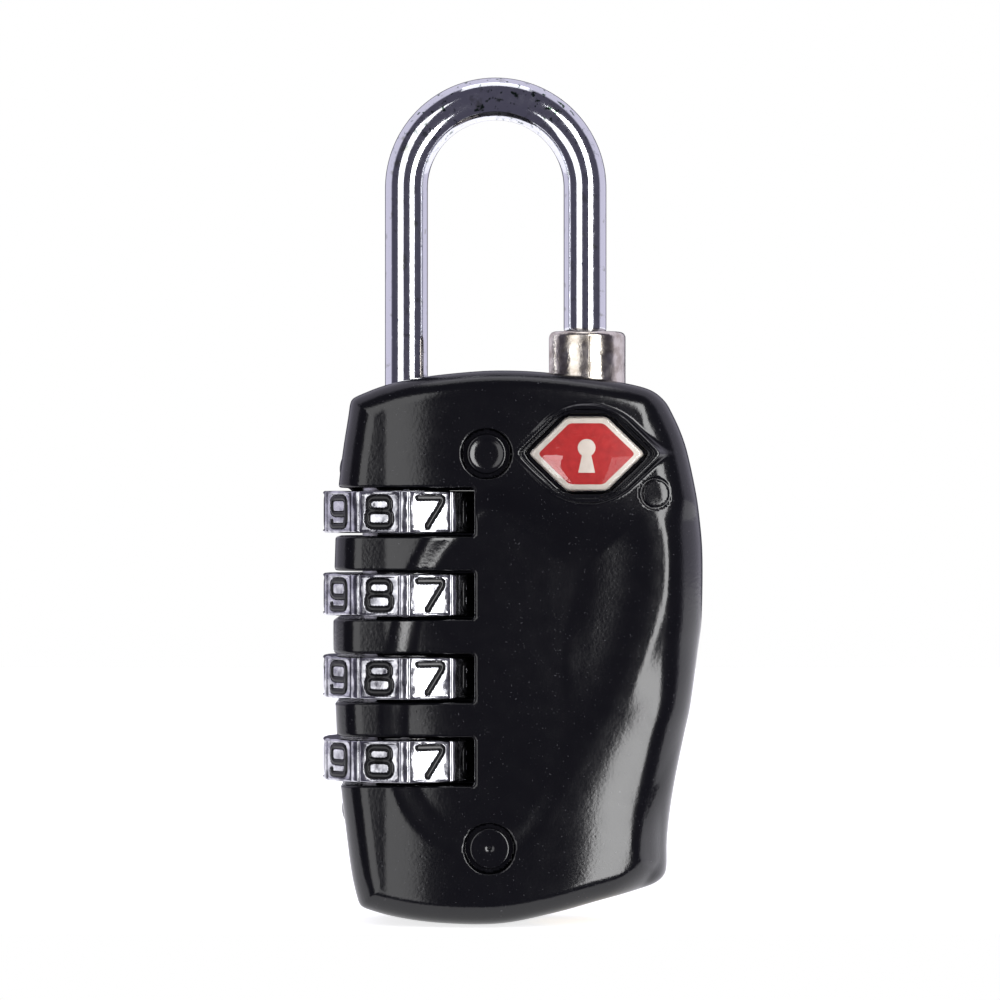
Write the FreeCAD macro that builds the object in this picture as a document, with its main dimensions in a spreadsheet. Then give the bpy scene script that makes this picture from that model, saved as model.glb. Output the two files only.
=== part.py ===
import FreeCAD, Part
import math
import os

import Sketcher

# Four-dial combination padlock with a keyed release. Millimetres. +Z points up the shackle, +X from the
# long leg to the short one, and the front faces -Y. The origin is the point inside the bow that bears on
# whatever the padlock hangs from, so everything but the bow lies below z = 0.

from FreeCAD import Placement, Rotation, Vector

DIALS = 4
DIGITS = 10

# alias, millimetres (or a count or degrees), what it measures
SIZES = [
    ("wire_radius", 2.0, "shackle wire"),
    ("leg_x", 8.35, "each leg's axis from the middle plane, and the bow's radius"),
    ("toe_radius", 1.5, "reduced end of the short leg"),
    ("toe_length", 3.9, "toe below the short leg's shoulder"),
    ("stem_end_z", -65.4, "lower end of the long leg"),
    ("lift", 6.5, "shackle travel to open"),
    ("fin_reach", 3.3, "fin tip from the long leg's axis"),
    ("fin_width", 1.4, "fin across its length"),
    ("fin_height", 1.8, "fin along the leg"),
    ("fin_top", 1.0, "fin's upper face above its dial's middle"),
    ("dial_radius", 7.9, "number wheel"),
    ("dial_height", 3.9, "number wheel"),
    ("dial_pitch", 7.65, "wheel to wheel"),
    ("first_dial_z", -36.6, "middle of the top wheel"),
    ("dial_chamfer", 0.25, "wheel's rim"),
    ("dial_groove_depth", 0.3, "grooves beside each number panel"),
    ("dial_groove_width", 0.34, "grooves beside each number panel"),
    ("dial_groove_angle", 12.4, "degrees from a panel's middle to its groove"),
    ("spline_root", 4.2, "wheel's toothed bore, between notches"),
    ("spline_tip", 4.95, "wheel's notches, and its plain bore"),
    ("notch_width", 1.36, "wheel's notches"),
    ("spline_floor", -0.2, "lower end of the toothed bore from the wheel's middle"),
    ("sleeve_radius", 4.1, "clutch sleeve"),
    ("sleeve_top", 3.2, "sleeve's upper end above its wheel's middle"),
    ("sleeve_length", 7.6, "clutch sleeve"),
    ("sleeve_bore", 2.15, "round the long leg"),
    ("sleeve_land", 1.9, "length of the gated bore"),
    ("sleeve_recess", 3.5, "space that a fin turns in"),
    ("gate_width", 1.7, "gate that a fin passes"),
    ("tooth_tip", 4.78, "sleeve's clutch teeth"),
    ("tooth_width", 1.1, "sleeve's clutch teeth"),
    ("tooth_top", 0.75, "clutch teeth above the wheel's middle"),
    ("tooth_height", 0.85, "clutch teeth along the axis"),
    ("washer_gap", 0.05, "play between stacked pieces"),
    ("washer_height", 0.5, "thrust washer"),
    ("washer_bore", 2.3, "thrust washer"),
    ("spring_wire", 0.3, "reset spring wire radius"),
    ("spring_radius", 3.3, "reset spring, to the wire's middle"),
    ("spring_floor_z", -69.6, "lower end of the reset spring"),
    ("spring_turns", 4, "turns of the reset spring"),
    ("front_depth", 7.9, "middle of the front from the parting plane"),
    ("back_depth", 8.4, "the back's crown before it is cut flat"),
    ("back_flat", 8.0, "flat of the back from the parting plane"),
    ("crest_x", -1.0, "thickest line of the case"),
    ("crown_radius", 95.0, "curve of the front and of the back across the case"),
    ("case_corner", 3.2, "corners of the case's outline"),
    ("case_round", 3.0, "roll-off from the front and back to the sides"),
    ("window_height", 4.45, "slots that the wheels stand in"),
    ("window_x", -1.96, "inner end of each slot"),
    ("dial_pocket", 8.2, "round pocket for each wheel"),
    ("case_sleeve_hole", 4.2, "holes that carry the sleeves"),
    ("stem_hole", 2.1, "hole for the long leg"),
    ("rivet_shank", 1.25, "rivet radius"),
    ("rivet_hole", 1.3, "hole for the rivet"),
    ("rivet_head", 1.85, "rivet head radius"),
    ("rivet_seat", 2.55, "counterbore round the head"),
    ("rivet_floor_front", 6.7, "seat floor from the parting plane, front"),
    ("rivet_floor_back", 7.0, "seat floor from the parting plane, back"),
    ("rivet_head_height", 0.9, "head thickness"),
    ("upper_rivet_x", -0.84, "upper rivet"),
    ("upper_rivet_z", -31.26, "upper rivet and badge"),
    ("lower_rivet_x", -0.56, "lower rivet"),
    ("lower_rivet_z", -67.5, "lower rivet"),
    ("badge_half", 5.35, "badge tip from its middle"),
    ("badge_flat_half", 1.83, "half of the badge's level side"),
    ("badge_half_height", 3.43, "badge level side from its middle"),
    ("badge_play", 0.12, "gap round the badge"),
    ("bezel_wall", 0.85, "raised frame round the badge"),
    ("bezel_face", 7.85, "bezel's rim from the parting plane"),
    ("badge_floor", 6.7, "badge pocket's floor from the parting plane"),
    ("badge_plate_height", 0.5, "printed badge plate"),
    ("badge_dome_height", 0.5, "clear resin over the badge"),
    ("collar_radius", 3.78, "release collar above the case"),
    ("collar_top_z", -19.8, "release collar's rim"),
    ("collar_round", 0.5, "rounding of the collar's rim"),
    ("collar_bore", 1.6, "seat for the toe"),
    ("collar_slot", 3.15, "side slot that lets the toe out"),
    ("collar_hole", 3.9, "hole in the case for the collar"),
    ("flange_radius", 4.6, "collar's flange inside the case"),
    ("flange_top_z", -27.0, "collar's flange"),
    ("flange_height", 1.2, "collar's flange"),
    ("shaft_radius", 2.3, "collar's shaft"),
    ("shaft_end_z", -50.3, "collar's shaft"),
    ("tang_width", 1.6, "tang at the shaft's end"),
    ("tang_length", 2.3, "tang at the shaft's end"),
    ("plug_radius", 4.0, "key plug"),
    ("plug_face_z", -71.6, "key plug's face"),
    ("plug_top_z", -50.5, "key plug's inner end"),
    ("plug_play", 0.05, "radial running clearance of the plug"),
    ("keyway_width", 1.4, "key slot"),
    ("keyway_height", 4.8, "key slot"),
    ("keyway_depth", 16.0, "key slot"),
    ("wafer_count", 5, "tumbler wafers"),
    ("wafer_pitch", 2.6, "wafer to wafer"),
    ("wafer_height", 1.0, "wafer thickness"),
    ("wafer_width", 3.2, "wafer across"),
    ("wafer_reach", 3.6, "wafer end from the plug's axis"),
    ("first_wafer_z", -67.4, "wafer next to the key's entry"),
    ("housing_radius", 5.6, "key housing"),
    ("housing_floor_z", -70.4, "key housing's lower end"),
    ("housing_top_z", -51.5, "key housing's upper end"),
    ("housing_groove_width", 3.4, "groove that locked wafers enter"),
    ("housing_groove_reach", 4.6, "groove that locked wafers enter"),
    ("clip_inner", 3.5, "plug clip"),
    ("clip_outer", 4.7, "plug clip"),
    ("clip_height", 0.5, "plug clip"),
    ("detent_x", 0.9, "detent spring's strip"),
    ("detent_thick", 0.3, "detent spring's strip"),
    ("detent_half_width", 2.4, "detent spring's strip"),
    ("detent_tip", 7.95, "finger tip from the wheels' axis"),
    ("finger_half_width", 0.5, "detent finger"),
    ("finger_height", 2.4, "detent finger"),
    ("index_radius", 2.4, "index pips on the case's side"),
    ("index_stand", 0.35, "how far the pips stand out"),
]

# The case's outline in the XZ plane: four smooth curves that meet at the corners, each through its own points
OUTLINE_TOP = [(-13.45, -26.3), (-7.1, -24.25), (1.4, -23.55), (8.8, -24.15), (15.9, -26.6)]
OUTLINE_RIGHT = [
    (15.9, -26.6),
    (17.7, -31.0),
    (19.05, -37.8),
    (18.9, -48.9),
    (17.5, -57.6),
    (16.1, -65.6),
    (16.0, -70.6),
]
OUTLINE_BOTTOM = [(16.0, -70.6), (9.7, -72.5), (5.4, -73.6), (0.1, -74.6), (-6.2, -74.45), (-12.8, -73.15)]
OUTLINE_LEFT = [
    (-12.8, -73.15),
    (-13.65, -68.0),
    (-14.65, -58.4),
    (-15.05, -47.8),
    (-14.85, -39.7),
    (-14.2, -31.35),
    (-13.45, -26.3),
]
SPAN = 60.0  # longer than the case in every direction

doc = FreeCAD.newDocument("padlock")
sheet = doc.addObject("Spreadsheet::Sheet", "Sizes")
pieces = []


def fill_sheet():
    for row, (alias, value, note) in enumerate(SIZES, start=1):
        sheet.set(f"A{row}", note)
        sheet.set(f"B{row}", str(value))
        sheet.setAlias(f"B{row}", alias)
    doc.recompute()


def mm(alias):
    """The sheet's value for an alias, as a number."""
    return float(sheet.get(alias))


def cell(formula):
    """A formula in aliases, with each alias written as a reference to the sheet."""
    names = sorted((alias for alias, _, _ in SIZES), key=len, reverse=True)
    out, at = "", 0
    while at < len(formula):
        name = next((n for n in names if formula.startswith(n, at)), None)
        word_before = at > 0 and (formula[at - 1].isalnum() or formula[at - 1] == "_")
        if name and not word_before:
            out += "Sizes." + name
            at += len(name)
        else:
            out += formula[at]
            at += 1
    return out


def bind(thing, **formulas):
    """Binds properties to formulas in the sheet's aliases. A double underscore in a name stands for a dot."""
    for name, formula in formulas.items():
        thing.setExpression(name.replace("__", "."), cell(formula))
    return thing


def place(thing, x="0", y="0", z="0", turn=None):
    if turn is not None:
        thing.Placement = Placement(Vector(), turn)
    return bind(thing, Placement__Base__x=x, Placement__Base__y=y, Placement__Base__z=z)


def cylinder(name, radius, z_low, z_high, x="0", y="0"):
    """An upright cylinder between two heights."""
    thing = doc.addObject("Part::Cylinder", name)
    bind(thing, Radius=radius, Height=f"({z_high}) - ({z_low})")
    return place(thing, x, y, z_low)


def cross_cylinder(name, radius, y_low, y_high, x, z):
    """A cylinder along Y."""
    thing = doc.addObject("Part::Cylinder", name)
    bind(thing, Radius=radius, Height=f"({y_high}) - ({y_low})")
    return place(thing, x, y_high, z, Rotation(Vector(1, 0, 0), 90))


def box(name, x_low, x_high, y_low, y_high, z_low, z_high):
    thing = doc.addObject("Part::Box", name)
    bind(
        thing,
        Length=f"({x_high}) - ({x_low})",
        Width=f"({y_high}) - ({y_low})",
        Height=f"({z_high}) - ({z_low})",
    )
    return place(thing, x_low, y_low, z_low)


def fuse(name, *shapes):
    thing = doc.addObject("Part::MultiFuse", name)
    thing.Shapes = list(shapes)
    thing.Refine = True
    return thing


def cut(name, base, *tools):
    thing = doc.addObject("Part::Cut", name)
    thing.Base = base
    thing.Tool = tools[0] if len(tools) == 1 else fuse(name + "_tools", *tools)
    return thing


def group(name, shapes):
    """Separate solids kept in one object."""
    thing = doc.addObject("Part::Compound", name)
    thing.Links = list(shapes)
    return thing


def piece(thing, label):
    """Marks an object as a finished sub-part, named by its Label."""
    thing.Label = label
    pieces.append(thing)
    return thing


def dial_z(k):
    """Formula for the middle of wheel k, counted from 0 at the top."""
    return f"(first_dial_z - {k} * dial_pitch)"


# Sketcher and PartDesign helpers


def new_body(name):
    return doc.addObject("PartDesign::Body", name)


def plane_of(body, role):
    return next(f for f in body.Origin.OriginFeatures if f.Role == role)


def new_sketch(body, name, role="XY_Plane"):
    sketch = body.newObject("Sketcher::SketchObject", name)
    sketch.AttachmentSupport = (plane_of(body, role), [""])
    sketch.MapMode = "FlatFace"
    return sketch


def circle_in(sketch, radius):
    """A circle about the sketch's origin, with its radius bound to a formula."""
    at = sketch.addGeometry(Part.Circle(Vector(), Vector(0, 0, 1), 1.0), False)
    sketch.addConstraint(Sketcher.Constraint("Coincident", at, 3, -1, 1))
    radius_at = sketch.addConstraint(Sketcher.Constraint("Radius", at, 1.0))
    sketch.setExpression(f"Constraints[{radius_at}]", cell(radius))


def closed_path_in(sketch, corners):
    """Straight lines through corners given as pairs of formulas, each corner held by its own coordinates."""
    spots = [Vector(number(x), number(y), 0) for x, y in corners]
    lines = [
        sketch.addGeometry(Part.LineSegment(spot, spots[(i + 1) % len(spots)]), False)
        for i, spot in enumerate(spots)
    ]
    for i, line in enumerate(lines):
        after = lines[(i + 1) % len(lines)]
        sketch.addConstraint(Sketcher.Constraint("Coincident", line, 2, after, 1))
    for line, spot, (x, y) in zip(lines, spots, corners):
        for axis, value, formula in (("DistanceX", spot.x, x), ("DistanceY", spot.y, y)):
            at = sketch.addConstraint(Sketcher.Constraint(axis, -1, 1, line, 1, value))
            sketch.setExpression(f"Constraints[{at}]", cell(formula))


def number(formula):
    """The value of a formula in the sheet's aliases."""
    return float(sheet.evalExpression(cell(formula)))


def pad(body, sketch, length, name="Pad"):
    feature = body.newObject("PartDesign::Pad", name)
    feature.Profile = sketch
    bind(feature, Length=length)
    return feature


def pocket(body, sketch, length, name="Pocket"):
    """Cuts upward from the sketch, which lies at the lower end of the cut."""
    feature = body.newObject("PartDesign::Pocket", name)
    feature.Profile = sketch
    feature.Reversed = True
    bind(feature, Length=length)
    return feature


def polar(body, features, count, name="PolarPattern"):
    pattern = body.newObject("PartDesign::PolarPattern", name)
    pattern.Originals = features
    pattern.Axis = (plane_of(body, "Z_Axis"), [""])
    pattern.Angle = 360.0
    pattern.Occurrences = count
    body.Tip = pattern
    return pattern


def raise_sketch(sketch, z):
    sketch.setExpression("AttachmentOffset.Base.z", cell(z))


# The moving pieces on the long leg's axis


def make_dial(k):
    """A number wheel: a rim with grooves beside each panel, a toothed bore above and a plain bore below."""
    body = new_body(f"Dial{k}")
    rim = new_sketch(body, f"DialRim{k}")
    circle_in(rim, "dial_radius")
    disc = pad(body, rim, "dial_height", f"DialDisc{k}")
    doc.recompute()
    edge = body.newObject("PartDesign::Chamfer", f"DialChamfer{k}")
    edge.Base = (disc, ["Edge1", "Edge3"])
    bind(edge, Size="dial_chamfer")
    body.Tip = edge
    grooves = []
    for side in (-1, 1):
        groove = new_sketch(body, f"DialGroove{k}_{side + 1}")
        groove.setExpression("AttachmentOffset.Rotation.Angle", cell(f"{side} * dial_groove_angle"))
        closed_path_in(
            groove,
            [
                ("dial_radius - dial_groove_depth", "-dial_groove_width / 2"),
                ("dial_radius + 1", "-dial_groove_width / 2"),
                ("dial_radius + 1", "dial_groove_width / 2"),
                ("dial_radius - dial_groove_depth", "dial_groove_width / 2"),
            ],
        )
        grooves.append(pocket(body, groove, "dial_height", f"DialGrooveCut{k}_{side + 1}"))
    polar(body, grooves, DIGITS, f"DialGrooves{k}")
    bore = new_sketch(body, f"DialBore{k}")
    circle_in(bore, "spline_root")
    pocket(body, bore, "dial_height", f"DialBoreCut{k}")
    clear = new_sketch(body, f"DialClear{k}")
    circle_in(clear, "spline_tip")
    pocket(body, clear, "dial_height / 2 + spline_floor", f"DialClearCut{k}")
    notch = new_sketch(body, f"DialNotch{k}")
    closed_path_in(
        notch,
        [
            ("spline_root - 0.5", "-notch_width / 2"),
            ("spline_tip", "-notch_width / 2"),
            ("spline_tip", "notch_width / 2"),
            ("spline_root - 0.5", "notch_width / 2"),
        ],
    )
    cut_notch = pocket(body, notch, "dial_height", f"DialNotchCut{k}")
    polar(body, [cut_notch], DIGITS, f"DialNotches{k}")
    place(body, "-leg_x", "0", dial_z(k) + " - dial_height / 2")
    return piece(body, f"dial_{k + 1}")


def make_sleeve(k):
    """A clutch sleeve: a gated land on top, a round recess under it, and teeth that engage its wheel."""
    body = new_body(f"Sleeve{k}")
    outside = new_sketch(body, f"SleeveOutside{k}")
    circle_in(outside, "sleeve_radius")
    pad(body, outside, "sleeve_length", f"SleeveTube{k}")
    tooth = new_sketch(body, f"SleeveTooth{k}")
    raise_sketch(tooth, "sleeve_length - sleeve_top + tooth_top - tooth_height")
    closed_path_in(
        tooth,
        [
            ("sleeve_radius - 0.5", "-tooth_width / 2"),
            ("tooth_tip", "-tooth_width / 2"),
            ("tooth_tip", "tooth_width / 2"),
            ("sleeve_radius - 0.5", "tooth_width / 2"),
        ],
    )
    one = pad(body, tooth, "tooth_height", f"SleeveToothPad{k}")
    polar(body, [one], DIGITS, f"SleeveTeeth{k}")
    bore = new_sketch(body, f"SleeveBore{k}")
    circle_in(bore, "sleeve_bore")
    pocket(body, bore, "sleeve_length", f"SleeveBoreCut{k}")
    recess = new_sketch(body, f"SleeveRecess{k}")
    circle_in(recess, "sleeve_recess")
    pocket(body, recess, "sleeve_length - sleeve_land", f"SleeveRecessCut{k}")
    gate = new_sketch(body, f"SleeveGate{k}")
    closed_path_in(
        gate,
        [
            ("0", "-gate_width / 2"),
            ("sleeve_recess", "-gate_width / 2"),
            ("sleeve_recess", "gate_width / 2"),
            ("0", "gate_width / 2"),
        ],
    )
    body.Tip = pocket(body, gate, "sleeve_length", f"SleeveGateCut{k}")
    place(body, "-leg_x", "0", dial_z(k) + " + sleeve_top - sleeve_length")
    return piece(body, f"sleeve_{k + 1}")


def make_shackle():
    """A round bow and two legs. The long leg has a fin for each wheel, and the short leg ends in a toe."""
    legs_top = "(wire_radius - leg_x)"
    shoulder = "(collar_top_z + washer_gap)"
    bow = doc.addObject("Part::Torus", "Bow")
    bind(bow, Radius1="leg_x", Radius2="wire_radius", Angle3="180")
    place(bow, "0", "0", legs_top, Rotation(Vector(1, 0, 0), 90))
    parts = [
        bow,
        cylinder("LongLeg", "wire_radius", "stem_end_z", legs_top, "-leg_x"),
        cylinder("ShortLeg", "wire_radius", shoulder, legs_top, "leg_x"),
        cylinder("Toe", "toe_radius", f"{shoulder} - toe_length", f"{shoulder} + 1", "leg_x"),
    ]
    for k in range(DIALS):
        top = f"({dial_z(k)} + fin_top)"
        fin = box(
            f"Fin{k}",
            "-leg_x",
            "-leg_x + fin_reach",
            "-fin_width / 2",
            "fin_width / 2",
            f"{top} - fin_height",
            top,
        )
        parts.append(fin)
    return piece(fuse("Shackle", *parts), "shackle")


def make_reset_stack():
    """Thrust washer and coil spring that hold the sleeves up against their stop."""
    top = f"({dial_z(DIALS - 1)} + sleeve_top - sleeve_length - washer_gap)"
    under = f"({top} - washer_height)"
    washer = cylinder("WasherDisc", "sleeve_radius - washer_gap", under, top, "-leg_x")
    hole = cylinder("WasherHole", "washer_bore", f"{under} - 1", f"{top} + 1", "-leg_x")
    piece(cut("Washer", washer, hole), "thrust_washer")
    body = new_body("ResetSpring")
    wire = new_sketch(body, "SpringWire", "XZ_Plane")
    at = wire.addGeometry(Part.Circle(Vector(mm("spring_radius"), 0, 0), Vector(0, 0, 1), 0.3), False)
    across = wire.addConstraint(Sketcher.Constraint("DistanceX", -1, 1, at, 3, mm("spring_radius")))
    wire.addConstraint(Sketcher.Constraint("PointOnObject", at, 3, -1))
    radius = wire.addConstraint(Sketcher.Constraint("Radius", at, 0.3))
    wire.setExpression(f"Constraints[{across}]", cell("spring_radius"))
    wire.setExpression(f"Constraints[{radius}]", cell("spring_wire"))
    doc.recompute()
    coil = body.newObject("PartDesign::AdditiveHelix", "SpringCoil")
    coil.Profile = wire
    coil.ReferenceAxis = (wire, ["V_Axis"])
    coil.Mode = "pitch-height-angle"
    height = f"({under} - washer_gap - spring_floor_z - 2 * spring_wire)"
    bind(coil, Height=height, Pitch=f"{height} / spring_turns")
    body.Tip = coil
    place(body, "-leg_x", "0", "spring_floor_z + spring_wire")
    piece(body, "reset_spring")


# The keyed release on the short leg's axis


def make_collar():
    """Slotted collar that holds the toe, with a flange, a shaft and a tang that the key plug turns."""
    head = cylinder("CollarHead", "collar_radius", "flange_top_z", "collar_top_z", "leg_x")
    rim_z = mm("collar_top_z")
    rounded = round_edges("CollarRim", head, "collar_round", lambda edge: edge.BoundBox.ZMin > rim_z - 0.01)
    whole = fuse(
        "CollarBlank",
        rounded,
        cylinder("CollarFlange", "flange_radius", "flange_top_z - flange_height", "flange_top_z", "leg_x"),
        cylinder("CollarShaft", "shaft_radius", "shaft_end_z", "flange_top_z", "leg_x"),
        box(
            "CollarTang",
            "leg_x - shaft_radius * 0.9",
            "leg_x + shaft_radius * 0.9",
            "-tang_width / 2",
            "tang_width / 2",
            "shaft_end_z - tang_length",
            "shaft_end_z + 0.5",
        ),
    )
    seat_floor = "collar_top_z + washer_gap - toe_length - 0.2"
    seat = cylinder("ToeSeat", "collar_bore", seat_floor, "collar_top_z + 1", "leg_x")
    slot = box(
        "ToeSlot",
        "leg_x - collar_radius - 1",
        "leg_x",
        "-collar_slot / 2",
        "collar_slot / 2",
        seat_floor,
        "collar_top_z + 1",
    )
    return piece(cut("Collar", whole, seat, slot), "release_collar")


def make_key_core():
    """Key plug, its wafers and clip, and the fixed housing round them."""
    plug = cylinder("PlugBlank", "plug_radius", "plug_face_z", "plug_top_z", "leg_x")
    keyway = box(
        "Keyway",
        "leg_x - keyway_width / 2",
        "leg_x + keyway_width / 2",
        "-keyway_height / 2",
        "keyway_height / 2",
        "plug_face_z - 1",
        "plug_face_z + keyway_depth",
    )
    tang_slot = box(
        "TangSlot",
        "leg_x - shaft_radius * 0.95",
        "leg_x + shaft_radius * 0.95",
        "-tang_width / 2 - 0.1",
        "tang_width / 2 + 0.1",
        "shaft_end_z - tang_length - 0.1",
        "plug_top_z + 1",
    )
    clip_z = "(housing_top_z + 0.15)"
    clip_groove = cut(
        "ClipGroove",
        cylinder("ClipGrooveOuter", "plug_radius + 1", clip_z, f"{clip_z} + clip_height", "leg_x"),
        cylinder("ClipGrooveInner", "clip_inner", f"{clip_z} - 1", f"{clip_z} + clip_height + 1", "leg_x"),
    )
    slots, wafers = [], []
    for k in range(int(mm("wafer_count"))):
        low = f"(first_wafer_z + {k} * wafer_pitch)"
        slots.append(
            box(
                f"WaferSlot{k}",
                "leg_x - wafer_width / 2 - 0.1",
                "leg_x + wafer_width / 2 + 0.1",
                "-plug_radius - 1",
                "plug_radius + 1",
                f"{low} - 0.05",
                f"{low} + wafer_height + 0.05",
            )
        )
        plate = box(
            f"WaferPlate{k}",
            "leg_x - wafer_width / 2",
            "leg_x + wafer_width / 2",
            "-wafer_reach",
            "wafer_reach",
            low,
            f"{low} + wafer_height",
        )
        window = box(
            f"WaferWindow{k}",
            "leg_x - keyway_width / 2",
            "leg_x + keyway_width / 2",
            "-keyway_height / 2",
            f"keyway_height / 2 - {k % 3} * 0.5",
            f"{low} - 1",
            f"{low} + wafer_height + 1",
        )
        wafers.append(cut(f"Wafer{k}", plate, window))
    piece(cut("Plug", plug, keyway, tang_slot, clip_groove, *slots), "key_plug")
    piece(group("Wafers", wafers), "tumbler_wafers")
    ring = cylinder("ClipRing", "clip_outer", f"{clip_z} + 0.05", f"{clip_z} + clip_height - 0.05", "leg_x")
    ring_hole = cylinder("ClipHole", "clip_inner + 0.02", f"{clip_z} - 1", f"{clip_z} + 2", "leg_x")
    far = "leg_x + clip_outer + 1"
    mouth = box("ClipMouth", "leg_x", far, "-2.6", "2.6", f"{clip_z} - 1", f"{clip_z} + 2")
    piece(cut("Clip", ring, ring_hole, mouth), "plug_clip")
    shell = cylinder("HousingBlank", "housing_radius", "housing_floor_z", "housing_top_z", "leg_x")
    hole = "plug_radius + plug_play"
    bore = cylinder("HousingBore", hole, "housing_floor_z - 1", "housing_top_z + 1", "leg_x")
    groove = box(
        "HousingGroove",
        "leg_x - housing_groove_width / 2",
        "leg_x + housing_groove_width / 2",
        "-housing_groove_reach",
        "housing_groove_reach",
        "first_wafer_z - 0.4",
        "first_wafer_z + wafer_count * wafer_pitch",
    )
    piece(cut("Housing", shell, bore, groove), "key_housing")


def make_detent_spring():
    """Leaf spring with a finger for each wheel's grooves."""
    low = f"({dial_z(DIALS - 1)} - 3.2)"
    high = f"({dial_z(0)} + 3.2)"
    wide = "detent_half_width"
    parts = [box("DetentStrip", "detent_x", "detent_x + detent_thick", f"-{wide}", wide, low, high)]
    tip = "(detent_tip - leg_x + finger_half_width)"
    for k in range(DIALS):
        bottom = f"{dial_z(k)} - finger_height / 2"
        top = f"{dial_z(k)} + finger_height / 2"
        side = "finger_half_width"
        parts.append(box(f"Finger{k}", tip, "detent_x", f"-{side}", side, bottom, top))
        parts.append(cylinder(f"FingerTip{k}", "finger_half_width", bottom, top, tip))
    return piece(fuse("DetentSpring", *parts), "detent_spring")


# The case


def make_case_form():
    """The case as one solid: its outline made thick, crowned front and back, rounded, and cut flat behind."""
    body = new_body("CaseBlank")
    outline = new_sketch(body, "CaseOutline", "XZ_Plane")
    for points in (OUTLINE_TOP, OUTLINE_RIGHT, OUTLINE_BOTTOM, OUTLINE_LEFT):
        curve = Part.BSplineCurve()
        curve.interpolate([Vector(x, z, 0) for x, z in points])
        at = outline.addGeometry(curve, False)
        outline.addConstraint(Sketcher.Constraint("Block", at))
    blank = pad(body, outline, "2 * (front_depth + back_depth)", "CaseThickness")
    blank.SideType = "Symmetric"
    body.Tip = blank
    low, high = f"-{SPAN + 60}", f"{SPAN}"
    crowned = doc.addObject("Part::MultiCommon", "CaseCrowned")
    crowned.Shapes = [
        body,
        cylinder("FrontCrown", "crown_radius", low, high, "crest_x", "crown_radius - front_depth"),
        cylinder("BackCrown", "crown_radius", low, high, "crest_x", "back_depth - crown_radius"),
    ]
    corners = round_edges("CaseCorners", crowned, "case_corner", runs_along_y)
    rims = round_edges("CaseRims", corners, "case_round", off_parting_plane)
    flat = doc.addObject("Part::MultiCommon", "CaseForm")
    flat.Shapes = [rims, box("FlatBack", f"-{SPAN}", f"{SPAN}", f"-{SPAN}", "back_flat", low, high)]
    return flat


def runs_along_y(edge):
    return edge.BoundBox.YLength > 5 and edge.BoundBox.XLength < 0.01


def off_parting_plane(edge):
    return edge.BoundBox.YMax < 0 or edge.BoundBox.YMin > 0


def round_edges(name, base, radius, wanted):
    """Fillets the edges of base that the test picks out."""
    doc.recompute()
    rounded = doc.addObject("Part::Fillet", name)
    rounded.Base = base
    size = mm(radius)
    rounded.Edges = [(i, size, size) for i, edge in enumerate(base.Shape.Edges, start=1) if wanted(edge)]
    return rounded


def hexagon(name, grow, y_low, y_high):
    """A prism along Y of the badge's outline, offset outward by grow."""
    slope = math.atan2(mm("badge_half_height"), mm("badge_half") - mm("badge_flat_half"))
    tip = f"(badge_half + {1 / math.sin(slope)} * ({grow}))"
    flat = f"(badge_flat_half + {(1 - math.cos(slope)) / math.sin(slope)} * ({grow}))"
    high = f"(badge_half_height + ({grow}))"
    body = new_body(name)
    outline = new_sketch(body, name + "Outline")
    upper = [(tip, "0"), (flat, high), (f"-{flat}", high)]
    lower = [(f"-{tip}", "0"), (f"-{flat}", f"-{high}"), (flat, f"-{high}")]
    closed_path_in(outline, upper + lower)
    body.Tip = pad(body, outline, f"({y_high}) - ({y_low})", name + "Prism")
    place(body, "leg_x", y_high, "upper_rivet_z", Rotation(Vector(1, 0, 0), 90))
    return body


def make_badge():
    plate_face = "-badge_floor - badge_plate_height"
    piece(hexagon("BadgePlate", "0", plate_face, "-badge_floor"), "badge_plate")
    piece(hexagon("BadgeDome", "0", f"{plate_face} - badge_dome_height", plate_face), "badge_dome")


def rivet_spots():
    return [("upper", "upper_rivet_x", "upper_rivet_z"), ("lower", "lower_rivet_x", "lower_rivet_z")]


def make_rivets():
    front, back = "-rivet_floor_front", "rivet_floor_back"
    for name, x, z in rivet_spots():
        shank = cross_cylinder(f"{name}Shank", "rivet_shank", front, back, x, z)
        head = cross_cylinder(f"{name}Head", "rivet_head", f"{front} - rivet_head_height", front, x, z)
        tail = cross_cylinder(f"{name}Tail", "rivet_head", back, f"{back} + rivet_head_height", x, z)
        piece(fuse(f"{name}Rivet", shank, head, tail), f"{name}_rivet")


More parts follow.
